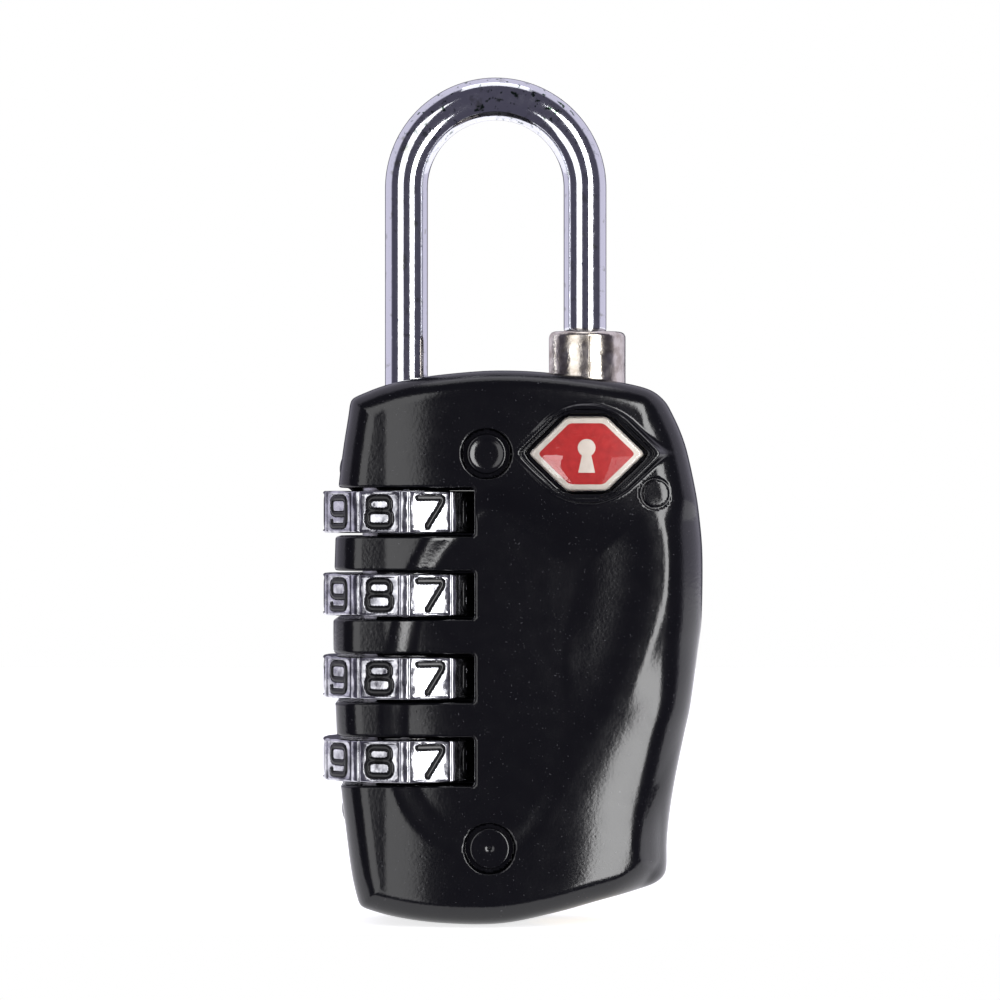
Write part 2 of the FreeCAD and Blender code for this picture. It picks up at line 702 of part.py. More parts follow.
def case_openings():
    """Everything cut out of both shells."""
    tools = []
    for k in range(DIALS):
        low = f"{dial_z(k)} - window_height / 2"
        high = f"{dial_z(k)} + window_height / 2"
        tools.append(box(f"Window{k}", f"-{SPAN}", "window_x", f"-{SPAN}", f"{SPAN}", low, high))
        tools.append(cylinder(f"DialPocket{k}", "dial_pocket", low, high, "-leg_x"))
        tools.append(
            box(
                f"FingerSlot{k}",
                "-leg_x + dial_pocket - 1",
                "detent_x + detent_thick",
                "-finger_half_width - 0.2",
                "finger_half_width + 0.2",
                f"{dial_z(k)} - finger_height / 2 - 0.2",
                f"{dial_z(k)} + finger_height / 2 + 0.2",
            )
        )
    sleeve_stop = f"{dial_z(0)} + sleeve_top + washer_gap"
    fin_stop = f"{dial_z(0)} + fin_top + lift + washer_gap"
    flange_low, flange_high = "flange_top_z - flange_height - 0.1", "flange_top_z + 0.1"
    housing_low, housing_high = "housing_floor_z - washer_gap", "shaft_end_z + 0.1"
    tools += [
        cylinder("SleeveWell", "case_sleeve_hole", "spring_floor_z - washer_gap", sleeve_stop, "-leg_x"),
        cylinder("FinWell", "sleeve_recess", dial_z(0), fin_stop, "-leg_x"),
        cylinder("StemHole", "stem_hole", dial_z(0), "0", "-leg_x"),
        cylinder("CollarHole", "collar_hole", "flange_top_z", "0", "leg_x"),
        cylinder("FlangeWell", "flange_radius + 0.15", flange_low, flange_high, "leg_x"),
        cylinder("ShaftWell", "shaft_radius + 0.2", "shaft_end_z", "flange_top_z", "leg_x"),
        cylinder("HousingWell", "housing_radius + washer_gap", housing_low, housing_high, "leg_x"),
        cylinder("PlugMouth", "plug_radius + 0.2", f"-{SPAN + 30}", "housing_floor_z", "leg_x"),
        box("Cavity", "2.6", "12.8", "-5.6", "5.6", "-49.4", "-36.4"),
        box(
            "DetentWell",
            "detent_x - 0.05",
            "detent_x + detent_thick + 0.4",
            "-detent_half_width - 0.1",
            "detent_half_width + 0.1",
            f"{dial_z(DIALS - 1)} - 3.3",
            f"{dial_z(0)} + 3.3",
        ),
    ]
    for name, x, z in rivet_spots():
        tools += [
            cross_cylinder(f"{name}RivetHole", "rivet_hole", f"-{SPAN}", f"{SPAN}", x, z),
            cross_cylinder(f"{name}FrontSeat", "rivet_seat", f"-{SPAN}", "-rivet_floor_front", x, z),
            cross_cylinder(f"{name}BackSeat", "rivet_seat", "rivet_floor_back", f"{SPAN}", x, z),
        ]
    tools.append(hexagon("BadgePocket", "badge_play", f"-{SPAN}", "-badge_floor"))
    return tools


def index_pips():
    """Domed marks on the side that show where the code is read, one above the wheels and one below."""
    pips = []
    for name, z, left in (("UpperPip", -32.6, -14.3), ("LowerPip", -64.4, -14.1)):
        pip = doc.addObject("Part::Sphere", name)
        bind(pip, Radius="index_radius")
        place(pip, f"{left} - index_stand + index_radius", "1.6", str(z))
        pips.append(pip)
    return pips


def make_case():
    form = make_case_form()
    bezel = hexagon("Bezel", "badge_play + bezel_wall", "-bezel_face", "-badge_floor + 1")
    solid = fuse("CaseSolid", form, bezel, *index_pips())
    hollow = cut("CaseHollow", solid, *case_openings())
    front_half = box("FrontHalf", f"-{SPAN}", f"{SPAN}", f"-{SPAN}", "0", f"-{2 * SPAN}", f"{SPAN}")
    back_half = box("BackHalf", f"-{SPAN}", f"{SPAN}", "0", f"{SPAN}", f"-{2 * SPAN}", f"{SPAN}")
    for label, half in (("front_shell", front_half), ("back_shell", back_half)):
        shell = doc.addObject("Part::MultiCommon", label.title().replace("_", ""))
        shell.Shapes = [hollow, half]
        piece(shell, label)


def check_and_export():
    doc.recompute()
    failed = [o.Name for o in doc.Objects if "Invalid" in o.State or "Error" in o.State]
    if failed:
        raise RuntimeError(f"objects that failed: {failed}")
    for thing in pieces:
        if thing.Shape.isNull() or not thing.Shape.isValid() or not thing.Shape.Solids:
            raise RuntimeError(f"{thing.Label} has no valid shape")
    os.makedirs("parts", exist_ok=True)
    for thing in pieces:
        thing.Shape.exportStep(f"parts/{thing.Label}.step")
        print(f"{thing.Label}: {len(thing.Shape.Solids)} solid(s), {thing.Shape.Volume:.1f} mm3")


fill_sheet()
for wheel in range(DIALS):
    make_dial(wheel)
    make_sleeve(wheel)
make_shackle()
make_reset_stack()
make_collar()
make_key_core()
make_detent_spring()
make_badge()
make_rivets()
make_case()
check_and_export()
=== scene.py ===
import math

import bmesh
import bpy
import numpy as np
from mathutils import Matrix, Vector

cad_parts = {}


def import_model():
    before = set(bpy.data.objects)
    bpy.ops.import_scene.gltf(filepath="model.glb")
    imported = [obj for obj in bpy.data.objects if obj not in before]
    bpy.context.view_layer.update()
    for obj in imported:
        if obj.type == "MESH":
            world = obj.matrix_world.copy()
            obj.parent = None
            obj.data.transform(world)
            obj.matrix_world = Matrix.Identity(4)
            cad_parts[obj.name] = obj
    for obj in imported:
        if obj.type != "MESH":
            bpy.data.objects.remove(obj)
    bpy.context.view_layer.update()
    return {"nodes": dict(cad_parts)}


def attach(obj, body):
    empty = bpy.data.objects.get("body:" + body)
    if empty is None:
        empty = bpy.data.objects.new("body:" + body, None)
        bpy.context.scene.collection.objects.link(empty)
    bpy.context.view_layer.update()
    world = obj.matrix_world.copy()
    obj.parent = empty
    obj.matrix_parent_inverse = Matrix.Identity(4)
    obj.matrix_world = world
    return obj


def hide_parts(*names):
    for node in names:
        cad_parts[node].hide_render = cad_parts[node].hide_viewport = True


# Looks of a four-dial combination padlock. Shapes are worked out in millimetres and built in
# metres. Cast and machined pieces are signed-distance fields, negative inside, that are meshed
# by surface nets.

MM = 0.001  # metres in a millimetre

LEG_X = 8.35  # from the middle to each leg of the shackle
DIALS, DIAL_PITCH = 4, 7.65
DIAL_X, DIAL_TOP = -LEG_X, -36.6  # the wheels' axis, and the middle of the top wheel
DIAL_R, DIAL_HALF = 7.9, 1.95
BORE_R, NOTCH_R = 4.2, 4.95  # the wheels' bore and its notches

# The case. The parting plane is at y = 0 and the crown is a cylinder along z.
FRONT, BACK, FLAT_BACK = 7.88, 8.38, 7.99
CREST_X, CROWN_R = -1.0, 95.0
WINDOW_HALF, WINDOW_END, WHEEL_ROOM = 2.225, -1.96, 8.2
INNER_HALF, INNER_LEFT, INNER_DEPTH = 1.985, -11.0, 4.4  # the windows are narrower deep inside
RIVETS = {"upper_rivet": (-0.84, -31.26), "lower_rivet": (-0.56, -67.5)}
SEAT_R, SEAT_FRONT, SEAT_BACK, RIVET_HOLE_R = 2.32, 6.7, 7.0, 1.3
MARK_X, MARK_Z, MARK_R, MARK_GROOVE = 14.7, -34.9, 1.35, 0.16
PIPS, PIP_Y, PIP_R = [(-12.25, -32.6), (-12.05, -64.4)], 1.6, 2.4  # bumps on the left side
SEAM_GAP, SEAM_EASE = 0.015, 0.16

# Round rooms in the case as (axis x, radius, low z, high z)
WELLS = [
    (DIAL_X, 4.2, -69.65, -33.35),  # sleeves, washer and reset spring
    (DIAL_X, 3.5, -37.0, -29.05),  # above the sleeves
    (LEG_X, 4.75, -28.3, -26.9),  # collar's flange
    (LEG_X, 2.5, -50.3, -27.0),  # collar's shaft
    (LEG_X, 5.65, -70.45, -50.2),  # key housing
]
MOUTHS = [(DIAL_X, 2.12, -37.0, 0.0), (LEG_X, 3.9, -27.0, 0.0), (LEG_X, 4.2, -90.0, -70.0)]
MOUTH_EASE = 0.25
# Square rooms as opposite corners: beside the collar's shaft, and behind the detent spring
ROOMS = [((2.6, -5.6, -49.4), (12.8, 5.6, -36.4)), ((0.85, -2.5, -62.85), (1.6, 2.5, -33.3))]

# The badge's hexagon, and its raised frame, ledge and pocket in the case
BADGE_X, BADGE_Z = LEG_X, -31.26
HEX_HALF, HEX_TIP, HEX_LEAN_X, HEX_LEAN_Z = 3.43, 3.81, 0.698, 0.716
FRAME_FACE, FRAME_WIDTH, FRAME_SLOPE, FRAME_TOP = 7.85, 1.02, 0.45, 7.87
LEDGE_GROW, LEDGE_DEPTH, POCKET_GROW, POCKET_DEPTH = 0.66, 7.52, 0.27, 6.7

# The case's outline as (x, z): its top, right, bottom and left sides
OUTLINE = [
    [(-13.45, -26.15), (-10.4, -24.95), (-7.1, -24.2), (-2.0, -23.65), (1.4, -23.56),
     (4.9, -23.75), (8.8, -24.2), (12.2, -24.75), (14.5, -25.4), (15.85, -26.5)],
    [(15.85, -26.5), (17.0, -28.85), (17.8, -31.2), (18.7, -35.5), (19.15, -39.0),
     (19.25, -42.2), (19.15, -46.8), (18.85, -49.2), (18.1, -54.6), (17.6, -57.0),
     (16.5, -62.5), (16.0, -66.8), (15.98, -69.2), (15.9, -70.4)],
    [(15.9, -70.4), (14.4, -71.35), (9.8, -72.45), (5.4, -73.6), (0.4, -74.55),
     (-5.2, -74.5), (-9.5, -73.95), (-12.6, -73.1)],
    [(-12.6, -73.1), (-13.3, -70.2), (-13.9, -65.7), (-14.5, -60.4), (-14.85, -54.5),
     (-15.03, -48.0), (-14.9, -41.0), (-14.65, -35.4), (-14.15, -31.0), (-13.6, -27.5),
     (-13.45, -26.15)],
]
# The leaf-shaped dish in the front
LEAF = [
    (-1.7, -34.2), (-4.6, -36.4), (-7.0, -39.4), (-9.0, -43.4), (-10.1, -48.5), (-10.7, -54.2),
    (-10.5, -59.3), (-9.6, -62.6), (-8.2, -65.1), (-6.1, -67.1), (-3.0, -68.4), (0.4, -68.9),
    (3.4, -67.8), (6.0, -65.2), (9.0, -61.1), (11.8, -55.9), (14.2, -50.0), (15.6, -45.8),
    (16.1, -42.1), (15.8, -38.3), (14.4, -35.5), (11.1, -34.0), (6.9, -33.4), (2.2, -33.6),
]


# Distance-field pieces

NEAR_LOOP = 0.5  # within this of a loop its points' normals give the distance


def round_max(a, b, r):
    """What is inside both fields, with edges rounded to radius r."""
    u = np.maximum(a + r, 0.0)
    v = np.maximum(b + r, 0.0)
    return np.minimum(np.maximum(a, b), -r) + np.hypot(u, v)


def round_min(a, b, r):
    """What is inside either field, with the corner between them filled to radius r."""
    return -round_max(-a, -b, r)


def slab(v, low, high):
    return np.maximum(low - v, v - high)


def upright(x, y, z, cx, radius, low, high):
    """An upright cylinder on the middle plane."""
    return np.maximum(np.hypot(x - cx, y) - radius, slab(z, low, high))


def box_field(x, y, z, low, high):
    sides = np.maximum(slab(x, low[0], high[0]), slab(y, low[1], high[1]))
    return np.maximum(sides, slab(z, low[2], high[2]))


def rounded_box_2d(u, v, half_u, half_v, r):
    a, b = np.abs(u) - half_u + r, np.abs(v) - half_v + r
    return np.hypot(np.maximum(a, 0), np.maximum(b, 0)) + np.minimum(np.maximum(a, b), 0) - r


def spline(points, closed=False, step=12):
    """A Catmull-Rom curve through the points."""
    p = np.array(points, float)
    if closed:
        p = np.vstack([p[-1], p, p[:2]])
    else:
        p = np.vstack([2 * p[0] - p[1], p, 2 * p[-1] - p[-2]])
    t = np.linspace(0, 1, step, endpoint=False)[:, None]
    out = []
    for a, b, c, d in zip(p[:-3], p[1:-2], p[2:-1], p[3:]):
        square, cube = 2 * a - 5 * b + 4 * c - d, 3 * b - a - 3 * c + d
        out.append(0.5 * (2 * b + (c - a) * t + square * t**2 + cube * t**3))
    if not closed:
        out.append(p[-2][None])
    return np.vstack(out)


def even(points, spacing, closed):
    """The same line with evenly spaced points."""
    p = np.vstack([points, points[:1]]) if closed else points
    run = np.concatenate([[0], np.cumsum(np.hypot(*np.diff(p, axis=0).T))])
    count = max(2, int(round(run[-1] / spacing)))
    s = np.linspace(0, run[-1], count + 1)
    if closed:
        s = s[:-1]
    return np.column_stack([np.interp(s, run, p[:, 0]), np.interp(s, run, p[:, 1])])


def corner_curve(start, corner, end):
    """Points on a curve from start to end that is drawn towards the corner."""
    return [
        (1 - t) ** 2 * start + 2 * t * (1 - t) * corner + t * t * end
        for t in np.linspace(0, 1, 7)
    ]


def outline_loop(spacing=0.12, rounds=24):
    """The case's outline, with the corners between its sides eased by repeated averaging."""
    loop = even(np.vstack([spline(side)[:-1] for side in OUTLINE]), spacing, True)
    for _ in range(rounds):
        loop = (np.roll(loop, 1, 0) + 2 * loop + np.roll(loop, -1, 0)) / 4
    return loop


def bilinear(grid, u, v, layer=()):
    """Values between a grid's cells, of one layer of the grid where it has layers."""
    i, j = u.astype(int), v.astype(int)
    s, t = u - i, v - j
    low = grid[(*layer, i, j)] * (1 - s) + grid[(*layer, i + 1, j)] * s
    high = grid[(*layer, i, j + 1)] * (1 - s) + grid[(*layer, i + 1, j + 1)] * s
    return low * (1 - t) + high * t


class FlatField:
    """Signed distance to a closed loop in the XZ plane, and its outward normal, on a fine grid."""

    def __init__(self, loop, low, high, step):
        tangent = np.roll(loop, -1, 0) - np.roll(loop, 1, 0)
        area = np.sum(loop[:, 0] * np.roll(loop[:, 1], -1) - np.roll(loop[:, 0], -1) * loop[:, 1])
        normal = np.column_stack([tangent[:, 1], -tangent[:, 0]]) * (1 if area > 0 else -1)
        normal /= np.hypot(*normal.T)[:, None]
        self.low, self.step = np.array(low), step
        xs = np.arange(low[0], high[0] + step, step)
        zs = np.arange(low[1], high[1] + step, step)
        self.shape = (len(xs), len(zs))
        self.d = np.empty(self.shape)
        self.n = np.empty(self.shape + (2,))
        for i, x in enumerate(xs):
            across = x - loop[:, 0][None] + 0 * zs[:, None]
            gap = np.stack([across, zs[:, None] - loop[:, 1][None]], -1)
            near = np.argmin((gap**2).sum(-1), 1)
            pick = gap[np.arange(len(zs)), near]
            self.d[i] = (pick * normal[near]).sum(-1)
            far = np.hypot(pick[:, 0], pick[:, 1])
            self.d[i] = np.where(far > NEAR_LOOP, np.sign(self.d[i]) * far, self.d[i])
            self.n[i] = normal[near]

    def read(self, grid, x, z):
        """The value at (x, z) of a grid that covers the same ground."""
        u = np.clip((x - self.low[0]) / self.step, 0, self.shape[0] - 1.001)
        v = np.clip((z - self.low[1]) / self.step, 0, self.shape[1] - 1.001)
        return bilinear(grid, u, v)


def blur(grid, rounds):
    for _ in range(rounds):
        for axis in (0, 1):
            grid = (np.roll(grid, 1, axis) + 2 * grid + np.roll(grid, -1, axis)) / 4
    return grid


def smoothstep(t):
    t = np.clip(t, 0, 1)
    return t * t * (3 - 2 * t)


def badge_hex(x, z):
    """Distance outside the badge's outline, in the plane of the front, with its corners eased."""
    u = np.sqrt(np.abs(x - BADGE_X) ** 2 + 0.02)
    v = np.sqrt((z - BADGE_Z) ** 2 + 0.06)
    return round_max(v - HEX_HALF, u * HEX_LEAN_X + v * HEX_LEAN_Z - HEX_TIP, 0.35)


def dial_row(z):
    """Height above the middle of the nearest wheel."""
    k = np.clip(np.round((DIAL_TOP - z) / DIAL_PITCH), 0, DIALS - 1)
    return z - (DIAL_TOP - k * DIAL_PITCH)


class Case:
    """The case as one field. Each shell is what lies on its side of the parting plane."""

    LOW, HIGH, STEP = (-17.0, -77.0), (21.5, -21.5), 0.1

    def __init__(self):
        self.outline = FlatField(outline_loop(), self.LOW, self.HIGH, self.STEP)
        self.leaf = FlatField(even(spline(LEAF, True), 0.15, True), self.LOW, self.HIGH, self.STEP)
        across, up = self.outline.n[..., 0], self.outline.n[..., 1]
        left_roll, right_roll, end_roll = 2.6, 3.5, 2.3
        roll = np.where(across > 0, right_roll, left_roll) * across**2 + end_roll * up**2
        self.roll = blur(roll, 30)
        x = self.LOW[0] + self.STEP * np.arange(self.leaf.shape[0])[:, None]
        z = self.LOW[1] + self.STEP * np.arange(self.leaf.shape[1])[None]
        self.sunk = blur(self.dish(x, z) + self.run_off(x, z), 6)

    def dish(self, x, z):
        """Depth of the leaf-shaped dish, at the grid's points."""
        right = smoothstep((x + 1.0) / 9.0)
        lower = smoothstep((-z - 48.0) / 11.0)
        # The slope into the dish is short on the left and long on the upper right.
        length = 2.9 + 4.6 * right * (1 - lower) + 0.1 * right * lower
        # The dish is deepest at the upper right and nearly runs out at the lower right.
        across = np.clip((x + 11.0) / 20.0, 0, 1)
        depth = 0.75 + across * (0.4 - 1.02 * lower)
        dish = depth * smoothstep((-self.leaf.d - 1.3 * right) / length)
        # The front leans back on the left.
        return dish + 0.010 * np.clip(-3.5 - x, 0, 6.5) ** 2

    def run_off(self, x, z):
        """How far the front falls away to the right beyond the leaf, at the grid's points."""
        d = self.leaf.d
        right = smoothstep((x + 1.0) / 9.0)
        lower = smoothstep((-z - 48.0) / 11.0)
        # The lower right curves away, from farther out towards the bottom.
        start = 5.4 * smoothstep((-z - 62.0) / 12.0) - 0.6
        curve = 0.021 + 0.012 * smoothstep((-z - 66.0) / 5.0)
        fall = curve * lower * np.clip(d - start, 0, 6.0) ** 2
        # The bottom corner curves away faster.
        corner = np.clip(x - 12.3 - 0.75 * np.minimum(z + 69.0, 0), 0, 3.0)
        fall = fall + 0.12 * smoothstep((-z - 62.0) / 5.0) * corner**2
        # The upper right breaks along a crest, over a short width.
        width, rate = 0.6, 0.26
        past = np.maximum(d + 0.6, 0)
        bend = np.minimum(past, width)
        crest = smoothstep((-z - 35.0) / 3.0) * (1 - smoothstep((-z - 48.0) / 8.0))
        return right * (fall + rate * crest * bend * (2 * past - bend))

    def front_face(self, x, z):
        """How far the front stands from the parting plane."""
        crown = FRONT - CROWN_R + np.sqrt(CROWN_R**2 - (x - CREST_X) ** 2)
        # The crown is flatter on the right, above the lower end.
        level = 0.0025 * np.maximum(x - 1.0, 0) ** 2 * smoothstep((z + 60) / 10.0)
        return crown + level - self.leaf.read(self.sunk, x, z)

    def solid(self, x, y, z):
        """The cast block, with the badge's frame on it."""
        side = self.outline.read(self.outline.d, x, z)
        roll = self.outline.read(self.roll, x, z)
        back = BACK - CROWN_R + np.sqrt(CROWN_R**2 - (x - CREST_X) ** 2)
        front = -y - self.front_face(x, z)
        d = round_max(front, side, roll)
        d = round_max(d, round_max(y - back, side, roll), 0.01)
        d = round_max(d, y - FLAT_BACK, 0.05)
        return self.badge_frame(x, y, z, d)

    def badge_frame(self, x, y, z, d):
        hexagon = badge_hex(x, z)
        flank = (hexagon - FRAME_WIDTH - FRAME_SLOPE * (y + FRAME_FACE)) / 1.1
        rim = round_max(flank, -y - FRAME_FACE, 0.08)
        rim = np.maximum(rim, y + 5.5)
        d = round_max(round_min(d, rim, 0.22), -y - FRAME_TOP, 0.03)
        ledge = np.maximum(hexagon - LEDGE_GROW, y + LEDGE_DEPTH)
        d = round_max(d, -ledge, 0.07)
        pocket = np.maximum(hexagon - POCKET_GROW, y + POCKET_DEPTH)
        return round_max(d, -pocket, 0.07)

    def marks(self, x, y, z, d):
        """The case with its rivets' seats and the ring beside the badge."""
        for rx, rz in RIVETS.values():
            r = np.hypot(x - rx, z - rz)
            seat = np.maximum(r - SEAT_R, np.minimum(y + SEAT_FRONT, SEAT_BACK - y))
            d = round_max(d, -seat, 0.15)
            d = np.maximum(d, RIVET_HOLE_R - r)
        r = np.hypot(x - MARK_X, z - MARK_Z)
        ring = np.hypot(r - MARK_R, y + self.front_face(x, z)) - MARK_GROOVE
        return round_max(d, -ring, 0.08)

    def windows(self, x, y, z, d):
        """The case with its wheels' windows."""
        row = np.abs(dial_row(z))
        slot = round_max(row - WINDOW_HALF, x - WINDOW_END, 0.35)
        d = round_max(d, -slot, 0.3)
        r = np.hypot(x - DIAL_X, y)
        d = np.maximum(d, -np.maximum(r - WHEEL_ROOM, row - WINDOW_HALF))
        inner = np.maximum(slab(x, INNER_LEFT, -1.0), np.abs(y) - INNER_DEPTH)
        return np.minimum(d, np.maximum(inner, np.maximum(INNER_HALF - row, row - 2.4)))

    def __call__(self, x, y, z):
        d = self.marks(x, y, z, self.solid(x, y, z))
        d = self.windows(x, y, z, d)
        for px, pz in PIPS:
            pip = np.sqrt((x - px) ** 2 + (y - PIP_Y) ** 2 + (z - pz) ** 2) - PIP_R
            d = round_min(d, pip, 0.08)
        for well in WELLS:
            d = np.maximum(d, -upright(x, y, z, *well))
        for mouth in MOUTHS:
            d = round_max(d, -upright(x, y, z, *mouth), MOUTH_EASE)
        for low, high in ROOMS:
            d = np.maximum(d, -box_field(x, y, z, low, high))
        return d


class Shell:
    """The half of the case on one side of the parting plane, with an eased edge along the seam."""

    def __init__(self, case, side):
        self.case, self.side = case, side

    def __call__(self, x, y, z):
        return round_max(self.case(x, y, z), -self.side * y + SEAM_GAP, SEAM_EASE)


# Meshing


def samples(field, p):
    return field(p[:, 0], p[:, 1], p[:, 2])


def slope(field, p, f0=None, eps=0.004):
    f0 = samples(field, p) if f0 is None else f0
    g = np.empty_like(p)
    for axis in range(3):
        q = p.copy()
        q[:, axis] += eps
        g[:, axis] = (samples(field, q) - f0) / eps
    return g


def settle(field, p, reach, rounds=3):
    """Moves points along the field's slope onto its surface."""
    for _ in range(rounds):
        f0 = samples(field, p)
        g = slope(field, p, f0)
        move = (f0 / np.maximum((g**2).sum(1), 0.2))[:, None] * g
        size = np.maximum(np.linalg.norm(move, axis=1, keepdims=True), 1e-9)
        p = p - move * np.minimum(1.0, reach / size)
    return p


def surface_net(field, low, high, h):
    """Vertices and quads of the field's surface inside a box, one vertex to a cell of size h."""
    axes = [np.arange(a - 1.5 * h, b + 2.5 * h, h) for a, b in zip(low, high)]
    f = np.empty([len(a) for a in axes], np.float32)
    y, z = np.meshgrid(axes[1], axes[2], indexing="ij")
    for i in range(0, len(axes[0]), 8):
        x = axes[0][i : i + 8][:, None, None] + 0 * y[None]
        f[i : i + 8] = field(x, y[None] + 0 * x, z[None] + 0 * x)
    solid = f < 0
    count = np.zeros([n - 1 for n in f.shape], np.int8)
    corners = [(a, b, c) for a in (0, 1) for b in (0, 1) for c in (0, 1)]
    n0, n1, n2 = count.shape
    for a, b, c in corners:
        count += solid[a : a + n0, b : b + n1, c : c + n2]
    cells = np.argwhere((count > 0) & (count < 8))
    index = np.full(count.shape, -1, np.int64)
    index[tuple(cells.T)] = np.arange(len(cells))
    value = {k: f[tuple((cells + k).T)] for k in corners}
    total, hits = np.zeros((len(cells), 3)), np.zeros(len(cells))
    for axis in range(3):
        for k in corners:
            if k[axis]:
                continue
            end = tuple(v + (i == axis) for i, v in enumerate(k))
            a, b = value[k], value[end]
            cross = (a < 0) != (b < 0)
            t = np.where(cross, a / np.where(cross, a - b, 1), 0)
            spot = np.array(k, float)[None].repeat(len(cells), 0)
            spot[:, axis] += t
            total += spot * cross[:, None]
            hits += cross
    origin = np.array([a[0] for a in axes])
    verts = origin + (cells + total / hits[:, None]) * h
    quads = []
    for axis in range(3):
        b, c = (axis + 1) % 3, (axis + 2) % 3
        low_side = np.take(solid, range(f.shape[axis] - 1), axis)
        high_side = np.take(solid, range(1, f.shape[axis]), axis)
        edges = np.argwhere(low_side != high_side)
        edges = edges[(edges[:, b] > 0) & (edges[:, c] > 0)]
        edges = edges[(edges[:, b] < f.shape[b] - 1) & (edges[:, c] < f.shape[c] - 1)]
        around = []
        for db, dc in ((-1, -1), (0, -1), (0, 0), (-1, 0)):
            cell = edges.copy()
            cell[:, b] += db
            cell[:, c] += dc
            around.append(index[tuple(cell.T)])
        quad = np.column_stack(around)
        outward = low_side[tuple(edges.T)]
        quad[~outward] = quad[~outward][:, ::-1]
        quads.append(quad)
    return verts, np.vstack(quads)


def link(mesh, material, body, replaced=()):
    """Puts a mesh in the scene as a piece of the padlock with the mesh's name."""
    obj = bpy.data.objects.new(mesh.name, mesh)
    bpy.context.scene.collection.objects.link(obj)
    mesh.materials.append(material)
    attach(obj, body)
    if replaced:
        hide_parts(*replaced)


def make_mesh(name, verts, faces, normals=None):
    mesh = bpy.data.meshes.new(name)
    mesh.from_pydata((np.asarray(verts) * MM).tolist(), [], [list(map(int, f)) for f in faces])
    mesh.update()
    mesh.shade_smooth()
    if normals is not None:
        mesh.normals_split_custom_set_from_vertices(normals.tolist())
    return mesh


def field_surface(field, low, high, h):
    """Vertices, quads and vertex normals of the field's surface inside a box."""
    verts, quads = surface_net(field, low, high, h)
    verts = settle(field, verts, 0.6 * h)
    g = slope(field, verts)
    return verts, quads, g / np.maximum(np.linalg.norm(g, axis=1, keepdims=True), 1e-9)


def field_mesh(name, field, low, high, h):
    return make_mesh(name, *field_surface(field, low, high, h))


# Number wheels

GLYPH_W, GLYPH_H = 1.17, 1.3  # half sizes of a digit
PANEL_DEG, FIRST_DEG = 36, -54  # from one panel to the next, and where the 9 stands
PANEL_FLOOR, PANEL_U, PANEL_V, PANEL_CORNER = 7.64, 1.72, 1.64, 0.4
LINE_U, LINE_R = 1.94, 0.15  # grooves beside each panel
STROKE, STROKE_DEPTH = 0.28, 0.16  # half width and depth of a digit's channel
INK, INK_HEIGHT, INK_SUNK = 0.265, 0.18, 0.13


def glyph_strokes():
    """Centre lines of the digits as (corners, closed), on a panel that is u across and v up."""
    a, b = GLYPH_W, GLYPH_H
    return {
        0: [([(-a, -b), (a, -b), (a, b), (-a, b)], True)],
        1: [([(-0.5, b - 0.5), (0.15, b), (0.15, -b)], False)],
        2: [([(-a, b - 0.45), (-a, b), (a, b), (a, 0.2), (-a, -0.7), (-a, -b), (a, -b)], False)],
        3: [
            ([(-a, b - 0.4), (-a, b), (a, b), (a, 0.08), (-0.3, 0.08)], False),
            ([(-0.3, 0.08), (a, 0.08), (a, -b), (-a, -b), (-a, 0.4 - b)], False),
        ],
        4: [([(0.5, -b), (0.5, b), (-a, -0.5), (a, -0.5)], False)],
        5: [([(a, b), (-a, b), (-a, 0.25), (a, 0.25), (a, -b), (-a, -b), (-a, 0.4 - b)], False)],
        6: [
            ([(-a, -b), (a, -b), (a, 0.2), (-a, 0.2)], True),
            ([(-a, -0.3), (-a, b), (a, b), (a, b - 0.4)], False),
        ],
        7: [([(-a, b), (a, b), (a, b - 0.4), (-0.25, -b)], False)],
        8: [
            ([(0.1 - a, 0.1), (a - 0.1, 0.1), (a - 0.1, b), (0.1 - a, b)], True),
            ([(-a, -b), (a, -b), (a, 0.1), (-a, 0.1)], True),
        ],
        9: [
            ([(-a, -0.2), (a, -0.2), (a, b), (-a, b)], True),
            ([(a, 0.3), (a, -b), (-a, -b), (-a, 0.4 - b)], False),
        ],
    }


def round_path(corners, closed, trim, spacing):
    """The path with its corners turned into short curves, evenly sampled."""
    p = [np.array(c, float) for c in corners]
    out = []
    for i, c in enumerate(p):
        if not closed and i in (0, len(p) - 1):
            out.append(c)
            continue
        before, after = p[i - 1] - c, p[(i + 1) % len(p)] - c
        cut = min(trim, 0.5 * np.linalg.norm(before), 0.5 * np.linalg.norm(after))
        a = c + before / np.linalg.norm(before) * cut
        b = c + after / np.linalg.norm(after) * cut
        out += corner_curve(a, c, b)
    return even(np.array(out), spacing, closed)


def glyph_paths(spacing):
    paths = {}
    for digit, strokes in glyph_strokes().items():
        trim = 0.2 if digit in (1, 4) else 0.62
        paths[digit] = []
        for corners, closed in strokes:
            paths[digit].append((round_path(corners, closed, trim, spacing), closed))
    return paths


def facet(x, y):
    """Reach along the nearest panel's normal, offset across it, and the panel's digit."""
    place = (np.arctan2(x, -y) - math.radians(FIRST_DEG)) / math.radians(PANEL_DEG)
    k = np.round(place)
    off = (place - k) * math.radians(PANEL_DEG)
    r = np.hypot(x, y)
    return r * np.cos(off), r * np.sin(off), ((9 - k) % 10).astype(int)


